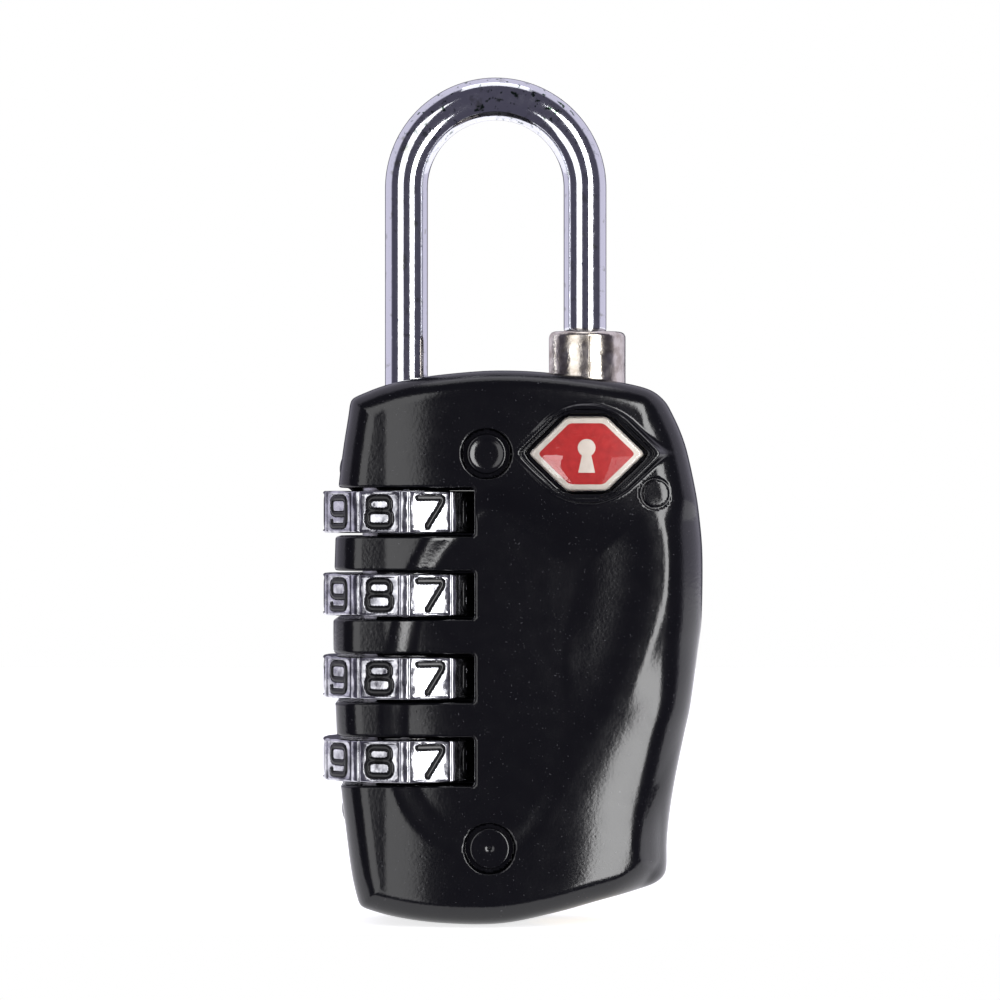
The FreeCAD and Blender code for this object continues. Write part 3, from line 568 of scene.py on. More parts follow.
class Wheel:
    """A number wheel about its own middle: panels with engraved digits, ribs and a splined bore."""

    def __init__(self):
        self.step, self.half = 0.05, 2.2
        line = np.arange(-self.half, self.half + self.step, self.step)
        u, v = np.meshgrid(line, line, indexing="ij")
        self.ink = []
        for digit, strokes in sorted(glyph_paths(0.05).items()):
            points = np.vstack([path for path, _ in strokes])
            gap = np.full(u.shape, 9.0)
            for pu, pv in points:
                gap = np.minimum(gap, np.hypot(u - pu, v - pv))
            self.ink.append(gap)
        self.ink = np.array(self.ink)

    def ink_distance(self, u, v, digit):
        top = self.ink.shape[1] - 1.001
        a = np.clip((u + self.half) / self.step, 0, top)
        b = np.clip((v + self.half) / self.step, 0, top)
        return bilinear(self.ink, a, b, (digit,))

    def __call__(self, x, y, z):
        r = np.hypot(x, y)
        n, u, digit = facet(x, y)
        half_panel = math.radians(PANEL_DEG / 2)
        rib = np.maximum(half_panel * DIAL_R - np.abs(np.arctan2(u, n)) * DIAL_R, 0)
        d = round_max(r - DIAL_R + 0.3 * np.minimum(rib, 0.6) ** 2, np.abs(z) - DIAL_HALF, 0.22)
        panel = np.maximum(rounded_box_2d(u, z, PANEL_U, PANEL_V, PANEL_CORNER), PANEL_FLOOR - n)
        d = round_max(d, -panel, 0.07)
        groove = np.hypot(np.abs(u) - LINE_U, r - DIAL_R - 0.02) - LINE_R
        d = round_max(d, -groove, 0.05)
        stroke = self.ink_distance(u, z, digit) - STROKE
        d = round_max(d, -np.maximum(stroke, PANEL_FLOOR - STROKE_DEPTH - n), 0.05)
        splined = np.minimum(r - BORE_R, np.maximum(np.abs(u) - 0.68, r - NOTCH_R))
        plain = np.maximum(r - NOTCH_R, z + 0.2)
        return np.maximum(d, -np.minimum(splined, plain))


def bead(path, closed, half_width, half_height, sides=12):
    """A rounded strip along a path on a flat panel, as points (u, v, height) and faces."""
    p = path
    if closed:
        tangent = np.roll(p, -1, 0) - np.roll(p, 1, 0)
        size = np.ones(len(p))
    else:
        tangent = np.gradient(p, axis=0)
        unit = tangent / np.hypot(*tangent.T)[:, None]
        caps = [0.995, 0.9, 0.7, 0.4]
        start = np.array([p[0] - unit[0] * half_width * c for c in caps])
        finish = np.array([p[-1] + unit[-1] * half_width * c for c in caps[::-1]])
        p = np.vstack([start, p, finish])
        tangent = np.vstack([unit[:1]] * 4 + [tangent] + [unit[-1:]] * 4)
        ends = [math.sqrt(1 - c * c) for c in caps]
        size = np.concatenate([ends, np.ones(len(path)), ends[::-1]])
    tangent = tangent / np.hypot(*tangent.T)[:, None]
    across = np.column_stack([-tangent[:, 1], tangent[:, 0]])
    turn = 2 * math.pi * np.arange(sides) / sides
    points = np.empty((len(p), sides, 3))
    spread = np.cos(turn)[None] * size[:, None]
    points[..., :2] = p[:, None] + across[:, None] * spread[..., None] * half_width
    points[..., 2] = np.sin(turn)[None] * size[:, None] * half_height
    faces = []
    rows = len(p) if closed else len(p) - 1
    for i in range(rows):
        j = (i + 1) % len(p)
        for k in range(sides):
            m = (k + 1) % sides
            faces.append((i * sides + k, j * sides + k, j * sides + m, i * sides + m))
    if not closed:
        faces.append(tuple(range(sides)))
        faces.append(tuple((len(p) - 1) * sides + k for k in range(sides))[::-1])
    return points.reshape(-1, 3), faces


def join(parts):
    """Several (points, faces) as one."""
    points, faces, start = [], [], 0
    for p, f in parts:
        points.append(p)
        faces += [tuple(start + i for i in face) for face in f]
        start += len(p)
    return np.vstack(points), faces


def wheel_ink():
    """Every digit's paint, laid in its channel round one wheel."""
    parts = []
    for digit, strokes in glyph_paths(0.09).items():
        angle = math.radians(FIRST_DEG + PANEL_DEG * (9 - digit))
        normal = np.array([math.sin(angle), -math.cos(angle), 0])
        across = np.array([math.cos(angle), math.sin(angle), 0])
        for path, closed in strokes:
            p, faces = bead(path, closed, INK, INK_HEIGHT)
            height = PANEL_FLOOR - INK_SUNK + p[:, 2]
            spots = height[:, None] * normal + p[:, :1] * across + p[:, 1:2] * np.array([0, 0, 1.0])
            parts.append((spots, faces))
    return join(parts)


def make_wheels(chrome, ink):
    h = 0.095
    low, high = (-DIAL_R, -DIAL_R, -DIAL_HALF), (DIAL_R, DIAL_R, DIAL_HALF)
    verts, quads, normals = field_surface(Wheel(), low, high, h)
    paint, paint_faces = wheel_ink()
    for k in range(DIALS):
        middle = np.array([DIAL_X, 0, DIAL_TOP - k * DIAL_PITCH])
        name, body = f"dial_{k + 1}", f"wheel_{k + 1}"
        wheel = make_mesh(f"{name}_wheel", verts + middle, quads, normals)
        link(wheel, chrome, body, [name])
        digits = make_mesh(f"{name}_digits", paint + middle, paint_faces)
        link(digits, ink, body)


# Shackle, collar, plug, rivets

WIRE_R, BOW_TOP, BOW_THINNING = 2.0, 2.0, 0.015
SPRING_LINE = BOW_TOP - LEG_X  # where the straight legs meet the bow
# The long leg's foot and the short leg's stepped toe, as (z, radius)
FOOT = [(-65.4, 1.4), (-65.3, 1.75), (-65.0, 1.96), (-64.7, WIRE_R)]
TOE = [(-19.62, 1.99), (-19.71, 1.94), (-19.75, 1.85), (-19.76, 1.55), (-19.8, 1.5), (-21.5, 1.5),
       (-23.2, 1.5), (-23.45, 1.44), (-23.6, 1.3), (-23.65, 1.05)]
FIN_TOP, FIN_HEIGHT, FIN_REACH, FIN_HALF = 1.0, 1.8, 3.3, 0.7

COLLAR_R, COLLAR_TOP, COLLAR_FOOT = 3.79, -19.8, -27.0
FLANGE_R, FLANGE_FOOT, SHAFT_R, SHAFT_END = 4.6, -28.2, 2.3, -50.3
TOE_SEAT_R, TOE_SLOT, TOE_SEAT_FLOOR = 1.62, 1.575, -23.85

PLUG_R, PLUG_FOOT, PLUG_TOP = 4.0, -71.6, -50.5
WAFERS, WAFER_PITCH, WAFER_FIRST = 5, 2.6, -67.4


def loft_faces(rows, count):
    """Quads between neighbouring rings of count points."""
    faces = []
    for i in range(rows - 1):
        for k in range(count):
            m = (k + 1) % count
            faces.append((i * count + k, i * count + m, (i + 1) * count + m, (i + 1) * count + k))
    return faces


def end_caps(rows, count):
    return [tuple(range(count))[::-1], tuple((rows - 1) * count + k for k in range(count))]


def tube(stations, sides=72):
    """A round bar in the XZ plane through (x, z, radius, heading in radians from +X towards +Z)."""
    turn = 2 * math.pi * np.arange(sides) / sides
    rings = []
    for x, z, radius, heading in stations:
        out = np.array([-math.sin(heading), 0, math.cos(heading)])
        ring = np.array([x, 0, z]) + radius * (
            np.cos(turn)[:, None] * out + np.sin(turn)[:, None] * np.array([0, -1.0, 0])
        )
        rings.append(ring)
    return np.vstack(rings), loft_faces(len(rings), sides) + end_caps(len(rings), sides)


def shackle_stations():
    up, down = math.pi / 2, -math.pi / 2
    stations = [(-LEG_X, z, radius, up) for z, radius in FOOT]
    stations += [(-LEG_X, z, WIRE_R, up) for z in np.linspace(-64, SPRING_LINE, 40)[:-1]]
    for t in np.linspace(math.pi, 0, 91):
        x, z = LEG_X * math.cos(t), SPRING_LINE + LEG_X * math.sin(t)
        stations.append((x, z, WIRE_R - BOW_THINNING * math.sin(t), t - math.pi / 2))
    stations += [(LEG_X, z, WIRE_R, down) for z in np.linspace(SPRING_LINE, -19.3, 12)[1:]]
    return stations + [(LEG_X, z, radius, down) for z, radius in TOE]


def block(low, high, ease):
    """A bar with eased edges, as points and faces."""
    bm = bmesh.new()
    bmesh.ops.create_cube(bm, size=1.0)
    for v in bm.verts:
        v.co = Vector(((high[i] + low[i]) / 2 + v.co[i] * (high[i] - low[i]) for i in range(3)))
    bmesh.ops.bevel(bm, geom=bm.edges[:], offset=ease, segments=2, profile=0.5, affect="EDGES")
    points = np.array([v.co[:] for v in bm.verts])
    faces = [tuple(v.index for v in f.verts) for f in bm.faces]
    bm.free()
    return points, faces


def make_shackle(chrome):
    parts = [tube(shackle_stations())]
    for k in range(DIALS):
        top = DIAL_TOP - k * DIAL_PITCH + FIN_TOP
        low, high = (-LEG_X, -FIN_HALF, top - FIN_HEIGHT), (FIN_REACH - LEG_X, FIN_HALF, top)
        parts.append(block(low, high, 0.12))
    bar = make_mesh("shackle_bar", *join(parts))
    link(bar, chrome, "shackle_body", ["shackle"])


def collar_field(x, y, z):
    r = np.hypot(x - LEG_X, y)
    head = round_max(r - COLLAR_R, slab(z, COLLAR_FOOT, COLLAR_TOP), 0.55)
    d = np.minimum(head, round_max(r - COLLAR_R, slab(z, COLLAR_FOOT - 0.2, -21.0), 0.05))
    d = np.minimum(d, np.maximum(r - FLANGE_R, slab(z, FLANGE_FOOT, COLLAR_FOOT)))
    d = np.minimum(d, round_max(r - SHAFT_R, slab(z, SHAFT_END, -27.5), 0.1))
    d = np.minimum(d, box_field(x, y, z, (LEG_X - 2.07, -0.8, -52.6), (LEG_X + 2.07, 0.8, -50.0)))
    seat = np.maximum(r - TOE_SEAT_R, TOE_SEAT_FLOOR - z)
    slot = np.maximum(np.maximum(np.abs(y) - TOE_SLOT, x - LEG_X), TOE_SEAT_FLOOR - z)
    d = round_max(d, -np.minimum(seat, slot), 0.22)
    seam = np.hypot(x - LEG_X - 0.4, np.minimum(0, 3.83 - r)) - 0.075
    seam = np.maximum(np.maximum(seam, y), 3.72 - r)
    return round_max(d, -seam, 0.03)


def plug_field(x, y, z):
    u = x - LEG_X
    r = np.hypot(u, y)
    d = round_max(r - PLUG_R, slab(z, PLUG_FOOT, PLUG_TOP), 0.3)
    key = np.maximum(rounded_box_2d(u, y, 0.7, 2.4, 0.15), z + 55.6)
    ward = np.maximum(rounded_box_2d(u - 0.62, y - 0.7, 0.2, 0.42, 0.08), z + 57.0)
    d = round_max(d, -np.maximum(key, -ward), 0.14)
    tang = box_field(u, y, z, (-2.19, -0.9, -52.7), (2.19, 0.9, -49.0))
    d = np.maximum(d, -tang)
    ring = np.maximum(3.5 - r, slab(z, -51.35, -50.85))
    d = np.maximum(d, -ring)
    for k in range(WAFERS):
        low = WAFER_FIRST + WAFER_PITCH * k
        d = np.maximum(d, -box_field(u, y, z, (-1.7, -5, low - 0.05), (1.7, 5, low + 1.05)))
    return d


def lathe_y(profile, cx, cz, sides, waver):
    """A turned piece about an axis along Y, from (radius, y) stations between two on the axis."""
    turn = 2 * math.pi * np.arange(sides) / sides
    points = []
    for radius, y in profile[1:-1]:
        dent = waver * (np.sin(turn + 1.1 * radius) + 0.6 * np.sin(2 * turn + 2.7))
        on_face = radius < HEAD_R - 0.01 and abs(y) > SEAT_BACK
        dent = dent * min(1.0, radius) if on_face else 0 * turn
        x, z = cx + radius * np.cos(turn), cz + radius * np.sin(turn)
        points.append(np.column_stack([x, y + dent, z]))
    rows = len(points)
    faces = loft_faces(rows, sides)
    poles = np.array([[cx, profile[0][1], cz], [cx, profile[-1][1], cz]])
    first, last = rows * sides, rows * sides + 1
    for k in range(sides):
        m = (k + 1) % sides
        faces.append((first, m, k))
        faces.append((last, (rows - 1) * sides + k, (rows - 1) * sides + m))
    return np.vstack(points + [poles]), [f[::-1] for f in faces]


# Stations of the rivets as (radius, y), from the front face through the shank to the back face
HEAD_R, SHANK_R = 1.85, 1.25
RIVET_TAIL = [
    (HEAD_R, -7.45), (HEAD_R, -6.74), (1.8, -6.7), (SHANK_R, -6.7), (SHANK_R, 0), (SHANK_R, 7.0),
    (1.8, 7.0), (HEAD_R, 7.05), (HEAD_R, 7.6), (1.78, 7.74), (1.6, 7.8), (1.3, 7.78), (0.9, 7.72),
    (0.5, 7.7), (0.25, 7.7), (0, 7.7),
]
RIVET_FACES = {
    "upper_rivet": [
        (0, -7.42), (0.3, -7.42), (0.7, -7.425), (1.0, -7.44), (1.2, -7.47), (1.36, -7.52),
        (1.47, -7.56), (1.56, -7.57), (1.68, -7.57), (1.78, -7.53),
    ],
    "lower_rivet": [
        (0, -7.28), (0.05, -7.3), (0.12, -7.42), (0.25, -7.5), (0.5, -7.53), (1.0, -7.54),
        (1.4, -7.55), (1.62, -7.57), (1.74, -7.56), (1.81, -7.52),
    ],
}


# Badge


def hex_loop(grow):
    """The badge's outline, grown outwards."""
    tip, flat, high = 5.35 + grow / HEX_LEAN_X, 1.83 + 0.407 * grow, HEX_HALF + grow
    corners = [(tip, 0), (flat, high), (-flat, high), (-tip, 0), (-flat, -high), (flat, -high)]
    size = max(0.05, min(0.42, 0.42 + 0.1 * grow))
    loop = []
    for i, corner in enumerate(corners):
        c, a, b = (np.array(corners[(i + j) % 6], float) for j in (0, -1, 1))
        a = c + (a - c) / np.linalg.norm(a - c) * size
        b = c + (b - c) / np.linalg.norm(b - c) * size
        loop += corner_curve(a, c, b)
    return np.array(loop)


def keyhole_loop(grow):
    """A plain keyhole: a round eye over a flared foot."""
    eye, drop, foot = 0.82 + grow, -1.75 - grow, 0.78 + grow
    start = math.radians(-58)
    turn = np.linspace(start, math.pi - start, 40)
    eye_arc = np.column_stack([eye * np.cos(turn), 0.55 + eye * np.sin(turn)])
    return np.vstack([eye_arc, [[-foot, drop], [foot, drop]]])


def stack(loop_of, levels):
    """A solid through loops at (grow, y), closed by flat ends, on the badge's middle."""
    rings = []
    for grow, y in levels:
        x, z = (loop_of(grow) + (BADGE_X, BADGE_Z)).T
        rings.append(np.column_stack([x, np.full(len(x), y), z]))
    rows, count = len(rings), len(rings[0])
    return np.vstack(rings), loft_faces(rows, count) + end_caps(rows, count)


def make_badge(cream, enamel, resin):
    plate = stack(hex_loop, [(-0.04, -6.7), (0, -6.74), (0, -7.14), (-0.05, -7.2)])
    link(make_mesh("badge_ground", *plate), cream, "case", ["badge_plate"])
    field = stack(hex_loop, [(-0.62, -7.19), (-0.62, -7.212), (-0.66, -7.222)])
    link(make_mesh("badge_field", *field), enamel, "case")
    mark = stack(keyhole_loop, [(0, -7.2), (0, -7.235), (-0.03, -7.245)])
    link(make_mesh("badge_keyhole", *mark), cream, "case")
    shoulder, foot_y, shoulder_y = 0.42, 7.3, 7.57
    levels = [(-0.03, -7.26), (0.0, -foot_y)]
    for t in np.linspace(0.1, 1, 9):
        grow = -shoulder * (1 - math.cos(t * math.pi / 2))
        levels.append((grow, -foot_y - 0.27 * math.sin(t * math.pi / 2)))
    for t in np.linspace(0.1, 1, 10):
        levels.append((-shoulder - 2.75 * t, -shoulder_y - 0.12 * math.sin(t * math.pi / 2)))
    dome = stack(hex_loop, levels)
    link(make_mesh("badge_lens", *dome), resin, "case", ["badge_dome"])


# Materials

MIX_A, MIX_B, MIX_RESULT = 6, 7, 2  # a Mix node's colour sockets


class Nodes:
    """A material's node tree, with its principled shader."""

    def __init__(self, name):
        self.material = bpy.data.materials.new(name)
        self.material.use_nodes = True
        self.tree = self.material.node_tree
        self.shader = self.tree.nodes["Principled BSDF"]
        self.coords = self.add("ShaderNodeTexCoord").outputs["Object"]

    def add(self, kind, **settings):
        node = self.tree.nodes.new(kind)
        for key, value in settings.items():
            setattr(node, key, value)
        return node

    def set(self, **values):
        for key, value in values.items():
            self.shader.inputs[key.replace("_", " ")].default_value = value

    def wire(self, source, target):
        self.tree.links.new(source, target)

    def stretched(self, scale):
        mapping = self.add("ShaderNodeMapping")
        mapping.inputs["Scale"].default_value = scale
        self.wire(self.coords, mapping.inputs["Vector"])
        return mapping.outputs["Vector"]

    def noise(self, scale, detail=3.0, roughness=0.5, coords=None):
        node = self.add("ShaderNodeTexNoise")
        node.inputs["Scale"].default_value = scale
        node.inputs["Detail"].default_value = detail
        node.inputs["Roughness"].default_value = roughness
        self.wire(coords or self.coords, node.inputs["Vector"])
        return node.outputs["Fac"]

    def cells(self, scale):
        node = self.add("ShaderNodeTexVoronoi")
        node.inputs["Scale"].default_value = scale
        self.wire(self.coords, node.inputs["Vector"])
        return node.outputs["Distance"]

    def span(self, value, low, high, out_low, out_high):
        """Maps low..high of a value onto out_low..out_high and stops at the ends."""
        node = self.add("ShaderNodeMapRange")
        sockets = ("From Min", "From Max", "To Min", "To Max")
        for key, number in zip(sockets, (low, high, out_low, out_high)):
            node.inputs[key].default_value = number
        self.wire(value, node.inputs["Value"])
        return node.outputs["Result"]

    def product(self, a, b):
        node = self.add("ShaderNodeMath", operation="MULTIPLY")
        self.wire(a, node.inputs[0])
        self.wire(b, node.inputs[1])
        return node.outputs[0]

    def tint(self, factor, first, second):
        """Base colour from first to second. The first may be an earlier tint."""
        node = self.add("ShaderNodeMix", data_type="RGBA")
        self.wire(factor, node.inputs["Factor"])
        if isinstance(first, tuple):
            node.inputs[MIX_A].default_value = (*first, 1)
        else:
            self.wire(first, node.inputs[MIX_A])
        node.inputs[MIX_B].default_value = (*second, 1)
        self.wire(node.outputs[MIX_RESULT], self.shader.inputs["Base Color"])
        return node.outputs[MIX_RESULT]

    def rough(self, value, low, high):
        """Roughness from low to high as a noise goes through its middle values."""
        self.wire(self.span(value, 0.3, 0.7, low, high), self.shader.inputs["Roughness"])

    def bumps(self, *layers):
        """Bump from (height, distance in millimetres, strength) layers, coarse ones first."""
        last = None
        for height, distance, strength in layers:
            node = self.add("ShaderNodeBump")
            node.inputs["Distance"].default_value = distance * MM
            node.inputs["Strength"].default_value = strength
            self.wire(height, node.inputs["Height"])
            if last is not None:
                self.wire(last, node.inputs["Normal"])
            last = node.outputs["Normal"]
        self.wire(last, self.shader.inputs["Normal"])


def black_paint():
    """Gloss black with fine orange peel, pits and specks of dust."""
    n = Nodes("case_paint")
    dust = n.span(n.noise(5200, 1.0), 0.72, 0.78, 0, 1)
    n.tint(dust, (0.0025, 0.0025, 0.0035), (0.05, 0.05, 0.055))
    n.rough(n.noise(700, 4.0), 0.14, 0.18)
    pits = n.span(n.cells(650), 0.0, 0.09, 0.0, 1.0)
    n.bumps((n.noise(450, 2.0), 0.02, 0.4), (n.noise(3500, 3.0), 0.018, 0.5), (pits, 0.02, 0.5))
    return n.material


def shackle_chrome():
    """Drawn and plated wire, with greenish specks on the bow."""
    n = Nodes("shackle_chrome")
    n.set(Metallic=1.0)
    dull = n.span(n.noise(900, 5.0), 0.6, 0.72, 0, 1)
    plated = n.tint(dull, (0.7, 0.71, 0.75), (0.42, 0.43, 0.4))
    split = n.add("ShaderNodeSeparateXYZ")
    n.wire(n.coords, split.inputs["Vector"])
    bow = n.span(split.outputs["Z"], -5 * MM, 1 * MM, 0, 1)
    specks = n.span(n.noise(1900, 3.0), 0.6, 0.66, 0, 1)
    n.tint(n.product(bow, specks), plated, (0.05, 0.09, 0.06))
    n.rough(n.noise(1500, 5.0), 0.05, 0.14)
    drawn = n.noise(60, 4.0, 0.6, n.stretched((60, 60, 2.0)))
    pits = n.span(n.cells(900), 0.0, 0.16, 0.0, 1.0)
    n.bumps((n.noise(260, 2.0), 0.02, 0.4), (drawn, 0.004, 0.4), (pits, 0.012, 0.4))
    return n.material


def dial_chrome():
    """Plating over a slightly uneven casting."""
    n = Nodes("dial_chrome")
    n.set(Metallic=1.0)
    n.tint(n.span(n.noise(900, 4.0), 0.42, 0.66, 0, 1), (0.56, 0.56, 0.59), (0.2, 0.2, 0.22))
    n.rough(n.noise(2200, 4.0), 0.12, 0.24)
    n.bumps((n.noise(350, 2.0), 0.4, 0.8), (n.noise(4200, 2.0), 0.01, 0.4))
    return n.material


def collar_nickel():
    """Warm worn nickel with dents and upright streaks."""
    n = Nodes("collar_nickel")
    n.set(Metallic=1.0)
    n.tint(n.span(n.noise(800, 5.0), 0.4, 0.68, 0, 1), (0.72, 0.67, 0.6), (0.4, 0.35, 0.29))
    n.rough(n.noise(1100, 5.0), 0.12, 0.3)
    dents = n.noise(620, 4.0, 0.6)
    streaks = n.noise(30, 4.0, 0.6, n.stretched((40, 40, 9)))
    n.bumps((dents, 0.1, 0.55), (streaks, 0.03, 0.35), (n.noise(3200, 3.0), 0.012, 0.5))
    return n.material


def metal(name, color, worn, rough):
    """A machined inner metal with fine marks."""
    n = Nodes(name)
    n.set(Metallic=1.0)
    n.tint(n.span(n.noise(1200, 4.0), 0.4, 0.7, 0, 1), color, worn)
    n.rough(n.noise(1700, 4.0), rough, rough + 0.12)
    turned = n.noise(50, 3.0, 0.6, n.stretched((6, 6, 90)))
    n.bumps((turned, 0.01, 0.4), (n.noise(2600, 3.0), 0.008, 0.4))
    return n.material


def dial_ink():
    """The black paint in the numbers."""
    n = Nodes("dial_ink")
    n.set(Specular_IOR_Level=0.3)
    n.tint(n.noise(1500, 3.0), (0.003, 0.003, 0.004), (0.009, 0.009, 0.01))
    n.rough(n.noise(1800, 3.0), 0.13, 0.22)
    n.bumps((n.noise(1700, 3.0), 0.015, 0.5))
    return n.material


def print_paint(name, color, worn, rough):
    """Printed enamel with a faint grain."""
    n = Nodes(name)
    n.tint(n.span(n.noise(1500, 4.0), 0.35, 0.75, 0, 1), color, worn)
    n.rough(n.noise(2200, 3.0), rough, rough + 0.15)
    n.bumps((n.noise(3000, 3.0), 0.004, 0.5))
    return n.material


def clear_resin():
    """A clear coat that lets the print show through and keeps its gloss."""
    n = Nodes("badge_resin")
    n.tree.nodes.remove(n.shader)
    out = n.tree.nodes["Material Output"]
    mix = n.add("ShaderNodeMixShader")
    clear = n.add("ShaderNodeBsdfTransparent")
    gloss = n.add("ShaderNodeBsdfGlossy")
    gloss.inputs["Roughness"].default_value = 0.03
    rim = n.add("ShaderNodeFresnel")
    rim.inputs["IOR"].default_value = 1.5
    bump = n.add("ShaderNodeBump")
    bump.inputs["Distance"].default_value = 0.01 * MM
    bump.inputs["Strength"].default_value = 0.5
    n.wire(n.noise(350, 2.0), bump.inputs["Height"])
    n.wire(bump.outputs["Normal"], gloss.inputs["Normal"])
    n.wire(rim.outputs["Fac"], mix.inputs["Fac"])
    n.wire(clear.outputs["BSDF"], mix.inputs[1])
    n.wire(gloss.outputs["BSDF"], mix.inputs[2])
    n.wire(mix.outputs["Shader"], out.inputs["Surface"])
    return n.material


def pale_floor():
    n = Nodes("pale_floor")
    n.tint(n.noise(3, 2.0), (0.9, 0.9, 0.91), (0.93, 0.93, 0.94))
    n.set(Roughness=0.6, Emission_Color=(1, 1, 1, 1), Emission_Strength=0.75)
    n.bumps((n.noise(120, 3.0), 0.05, 0.2))
    return n.material


# Studio, in metres

MIDDLE, BOX_DISTANCE = Vector((0, 0, -0.036)), 0.5
SOFTBOXES = [  # name, angle, lift, (width, height), power, colour
    ("left_box", -31, 6, (0.26, 0.55), 0.95, (1, 1, 1)),
    ("right_box", 31, 6, (0.18, 0.55), 2.8, (1, 1, 1)),
    ("top_box", 0, 84, (0.3, 0.2), 0.25, (0.97, 0.97, 1)),
]
DIM, BRIGHT, DIM_BEHIND = (0.085, 0.08, 0.115, 1), (0.8, 0.77, 0.93, 1), (0.1, 0.095, 0.13, 1)
FLOOR_Z, FLOOR_HALF, FLOOR_FRONT = -0.0749, 0.6, -0.011
CAMERA_DISTANCE, VIEW_WIDTH, SENSOR = 0.4, 0.0935, 36  # the sensor's width is in millimetres


def softbox(name, angle, lift, size, power, color):
    """An area light at an angle from the camera's side, positive to +X, that faces the padlock."""
    data = bpy.data.lights.new(name, "AREA")
    data.shape = "RECTANGLE"
    data.size, data.size_y = size
    data.energy = power
    data.color = color
    obj = bpy.data.objects.new(name, data)
    a, e = math.radians(angle), math.radians(lift)
    toward = Vector((math.sin(a) * math.cos(e), -math.cos(a) * math.cos(e), math.sin(e)))
    obj.location = MIDDLE + BOX_DISTANCE * toward
    obj.rotation_euler = (MIDDLE - obj.location).to_track_quat("-Z", "Y").to_euler()
    bpy.context.scene.collection.objects.link(obj)


def backdrop_light():
    """A surround that is bright behind and beside the padlock, dim in front and seen as white."""
    world = bpy.data.worlds.new("studio")
    bpy.context.scene.world = world
    world.use_nodes = True
    tree = world.node_tree
    tree.nodes.clear()
    new, join_up = tree.nodes.new, tree.links.new
    coords = new("ShaderNodeTexCoord")
    split = new("ShaderNodeSeparateXYZ")
    ramp = new("ShaderNodeValToRGB")
    first, second = ramp.color_ramp.elements
    first.position, first.color = 0.43, DIM
    second.position, second.color = 0.51, BRIGHT
    for place, color in ((0.9, BRIGHT), (0.95, DIM_BEHIND)):
        ramp.color_ramp.elements.new(place).color = color
    remap = new("ShaderNodeMapRange")
    remap.inputs["From Min"].default_value = -1
    around, seen = new("ShaderNodeBackground"), new("ShaderNodeBackground")
    out = new("ShaderNodeOutputWorld")
    seen.inputs["Color"].default_value = (1, 1, 1, 1)
    path, mix = new("ShaderNodeLightPath"), new("ShaderNodeMixShader")
    join_up(coords.outputs["Generated"], split.inputs["Vector"])
    join_up(split.outputs["Y"], remap.inputs["Value"])
    join_up(remap.outputs["Result"], ramp.inputs["Fac"])
    join_up(ramp.outputs["Color"], around.inputs["Color"])
    join_up(path.outputs["Is Camera Ray"], mix.inputs["Fac"])
    join_up(around.outputs["Background"], mix.inputs[1])
    join_up(seen.outputs["Background"], mix.inputs[2])
    join_up(mix.outputs["Shader"], out.inputs["Surface"])


def make_studio():
    backdrop_light()
    for box in SOFTBOXES:
        softbox(*box)
    mesh = bpy.data.meshes.new("floor")
    near, far = FLOOR_FRONT, FLOOR_HALF
    spots = [(-FLOOR_HALF, near), (FLOOR_HALF, near), (FLOOR_HALF, far), (-FLOOR_HALF, far)]
    mesh.from_pydata([(x, y, FLOOR_Z) for x, y in spots], [], [(0, 1, 2, 3)])
    mesh.materials.append(pale_floor())
    floor = bpy.data.objects.new("floor", mesh)
    bpy.context.scene.collection.objects.link(floor)


def make_camera():
    data = bpy.data.cameras.new("camera")
    camera = bpy.data.objects.new("camera", data)
    bpy.context.scene.collection.objects.link(camera)
    data.sensor_width = SENSOR
    data.lens = SENSOR * CAMERA_DISTANCE / VIEW_WIDTH
    camera.location = (0.0004, -CAMERA_DISTANCE, -0.0355)
    camera.rotation_euler = (math.pi / 2, 0, 0)
    data.clip_start, data.clip_end = 0.01, 20
    bpy.context.scene.camera = camera


# The padlock


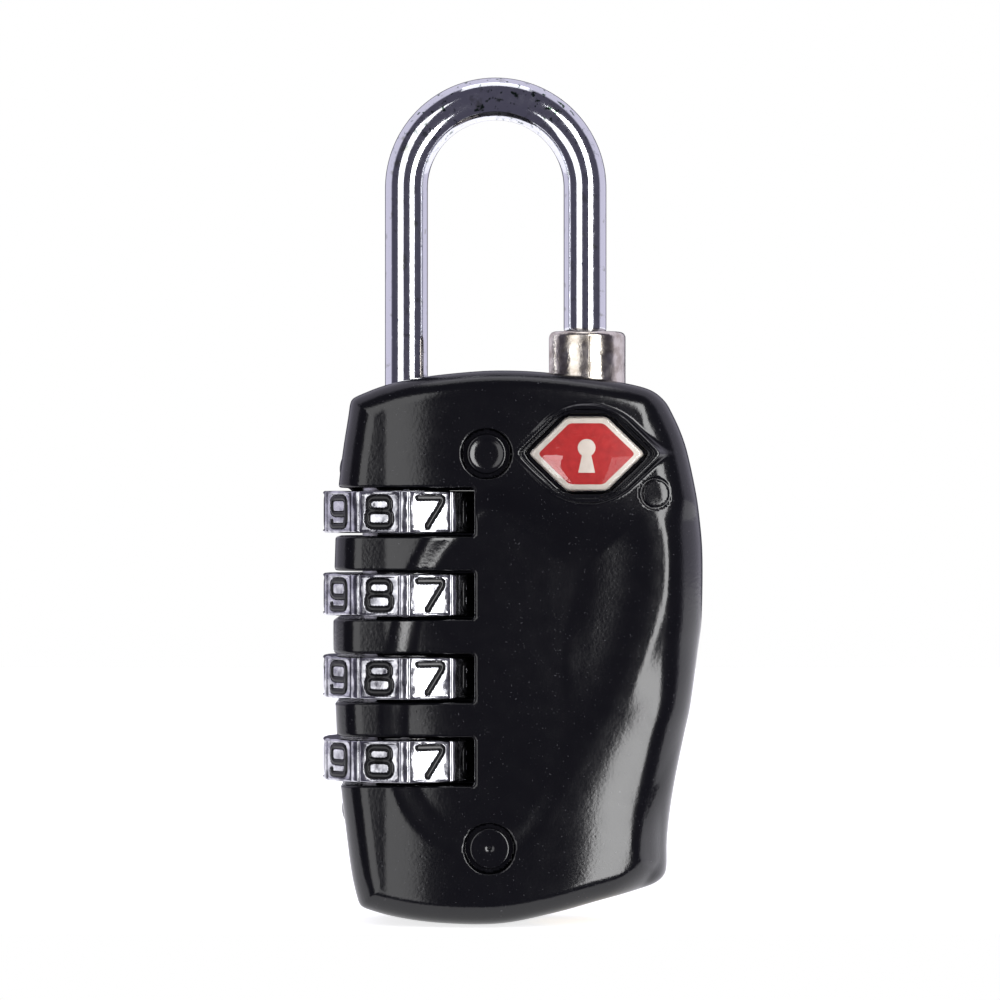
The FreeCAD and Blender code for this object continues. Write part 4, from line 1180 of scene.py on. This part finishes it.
def make_case(paint):
    case = Case()
    h = 0.19
    spans = {
        "front_shell": (-1, (-15.3, -7.9, -75.0), (19.5, 0.1, -23.2)),
        "back_shell": (1, (-15.3, -0.1, -75.0), (19.5, 8.1, -23.2)),
    }
    for name, (side, low, high) in spans.items():
        mesh = field_mesh(name + "_cast", Shell(case, side), low, high, h)
        link(mesh, paint, "case", [name])


def make_rivets(paint):
    for name, (x, z) in RIVETS.items():
        rivet = lathe_y(RIVET_FACES[name] + RIVET_TAIL, x, z, 96, 0.006)
        link(make_mesh(name + "_peened", *rivet), paint, "case", [name])


def make_release(nickel, brass):
    """The collar and the key plug, which turn together."""
    h = 0.11
    collar = field_mesh("collar_cast", collar_field, (3.7, -4.7, -52.7), (13.0, 4.7, -19.7), h)
    link(collar, nickel, "release", ["release_collar"])
    plug = field_mesh("plug_turned", plug_field, (4.3, -4.1, -71.7), (12.4, 4.1, -50.4), h)
    link(plug, brass, "release", ["key_plug"])


def dress_inner_parts(frame):
    """Gives the CAD's own inner parts, which stay as they are, their metals."""
    brass = metal("inner_brass", (0.74, 0.56, 0.28), (0.5, 0.36, 0.16), 0.22)
    steel = metal("inner_steel", (0.52, 0.52, 0.54), (0.32, 0.31, 0.3), 0.24)
    kept = {"key_housing": brass, "tumbler_wafers": brass}
    for node in ("thrust_washer", "reset_spring", "detent_spring", "plug_clip"):
        kept[node] = steel
    for k in range(DIALS):
        kept[f"sleeve_{k + 1}"] = steel
    for node, material in kept.items():
        for slot in frame["nodes"][node].material_slots:
            slot.material = material


def main():
    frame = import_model()
    paint = black_paint()
    make_case(paint)
    make_rivets(paint)
    make_wheels(dial_chrome(), dial_ink())
    make_shackle(shackle_chrome())
    nickel = collar_nickel()
    make_release(nickel, metal("plug_brass", (0.78, 0.6, 0.3), (0.5, 0.36, 0.16), 0.2))
    cream = print_paint("badge_cream", (0.8, 0.74, 0.66), (0.72, 0.66, 0.58), 0.3)
    enamel = print_paint("badge_enamel", (0.55, 0.02, 0.018), (0.42, 0.012, 0.01), 0.3)
    make_badge(cream, enamel, clear_resin())
    dress_inner_parts(frame)
    make_studio()
    make_camera()
    bpy.context.scene.view_settings.view_transform = "Standard"


main()
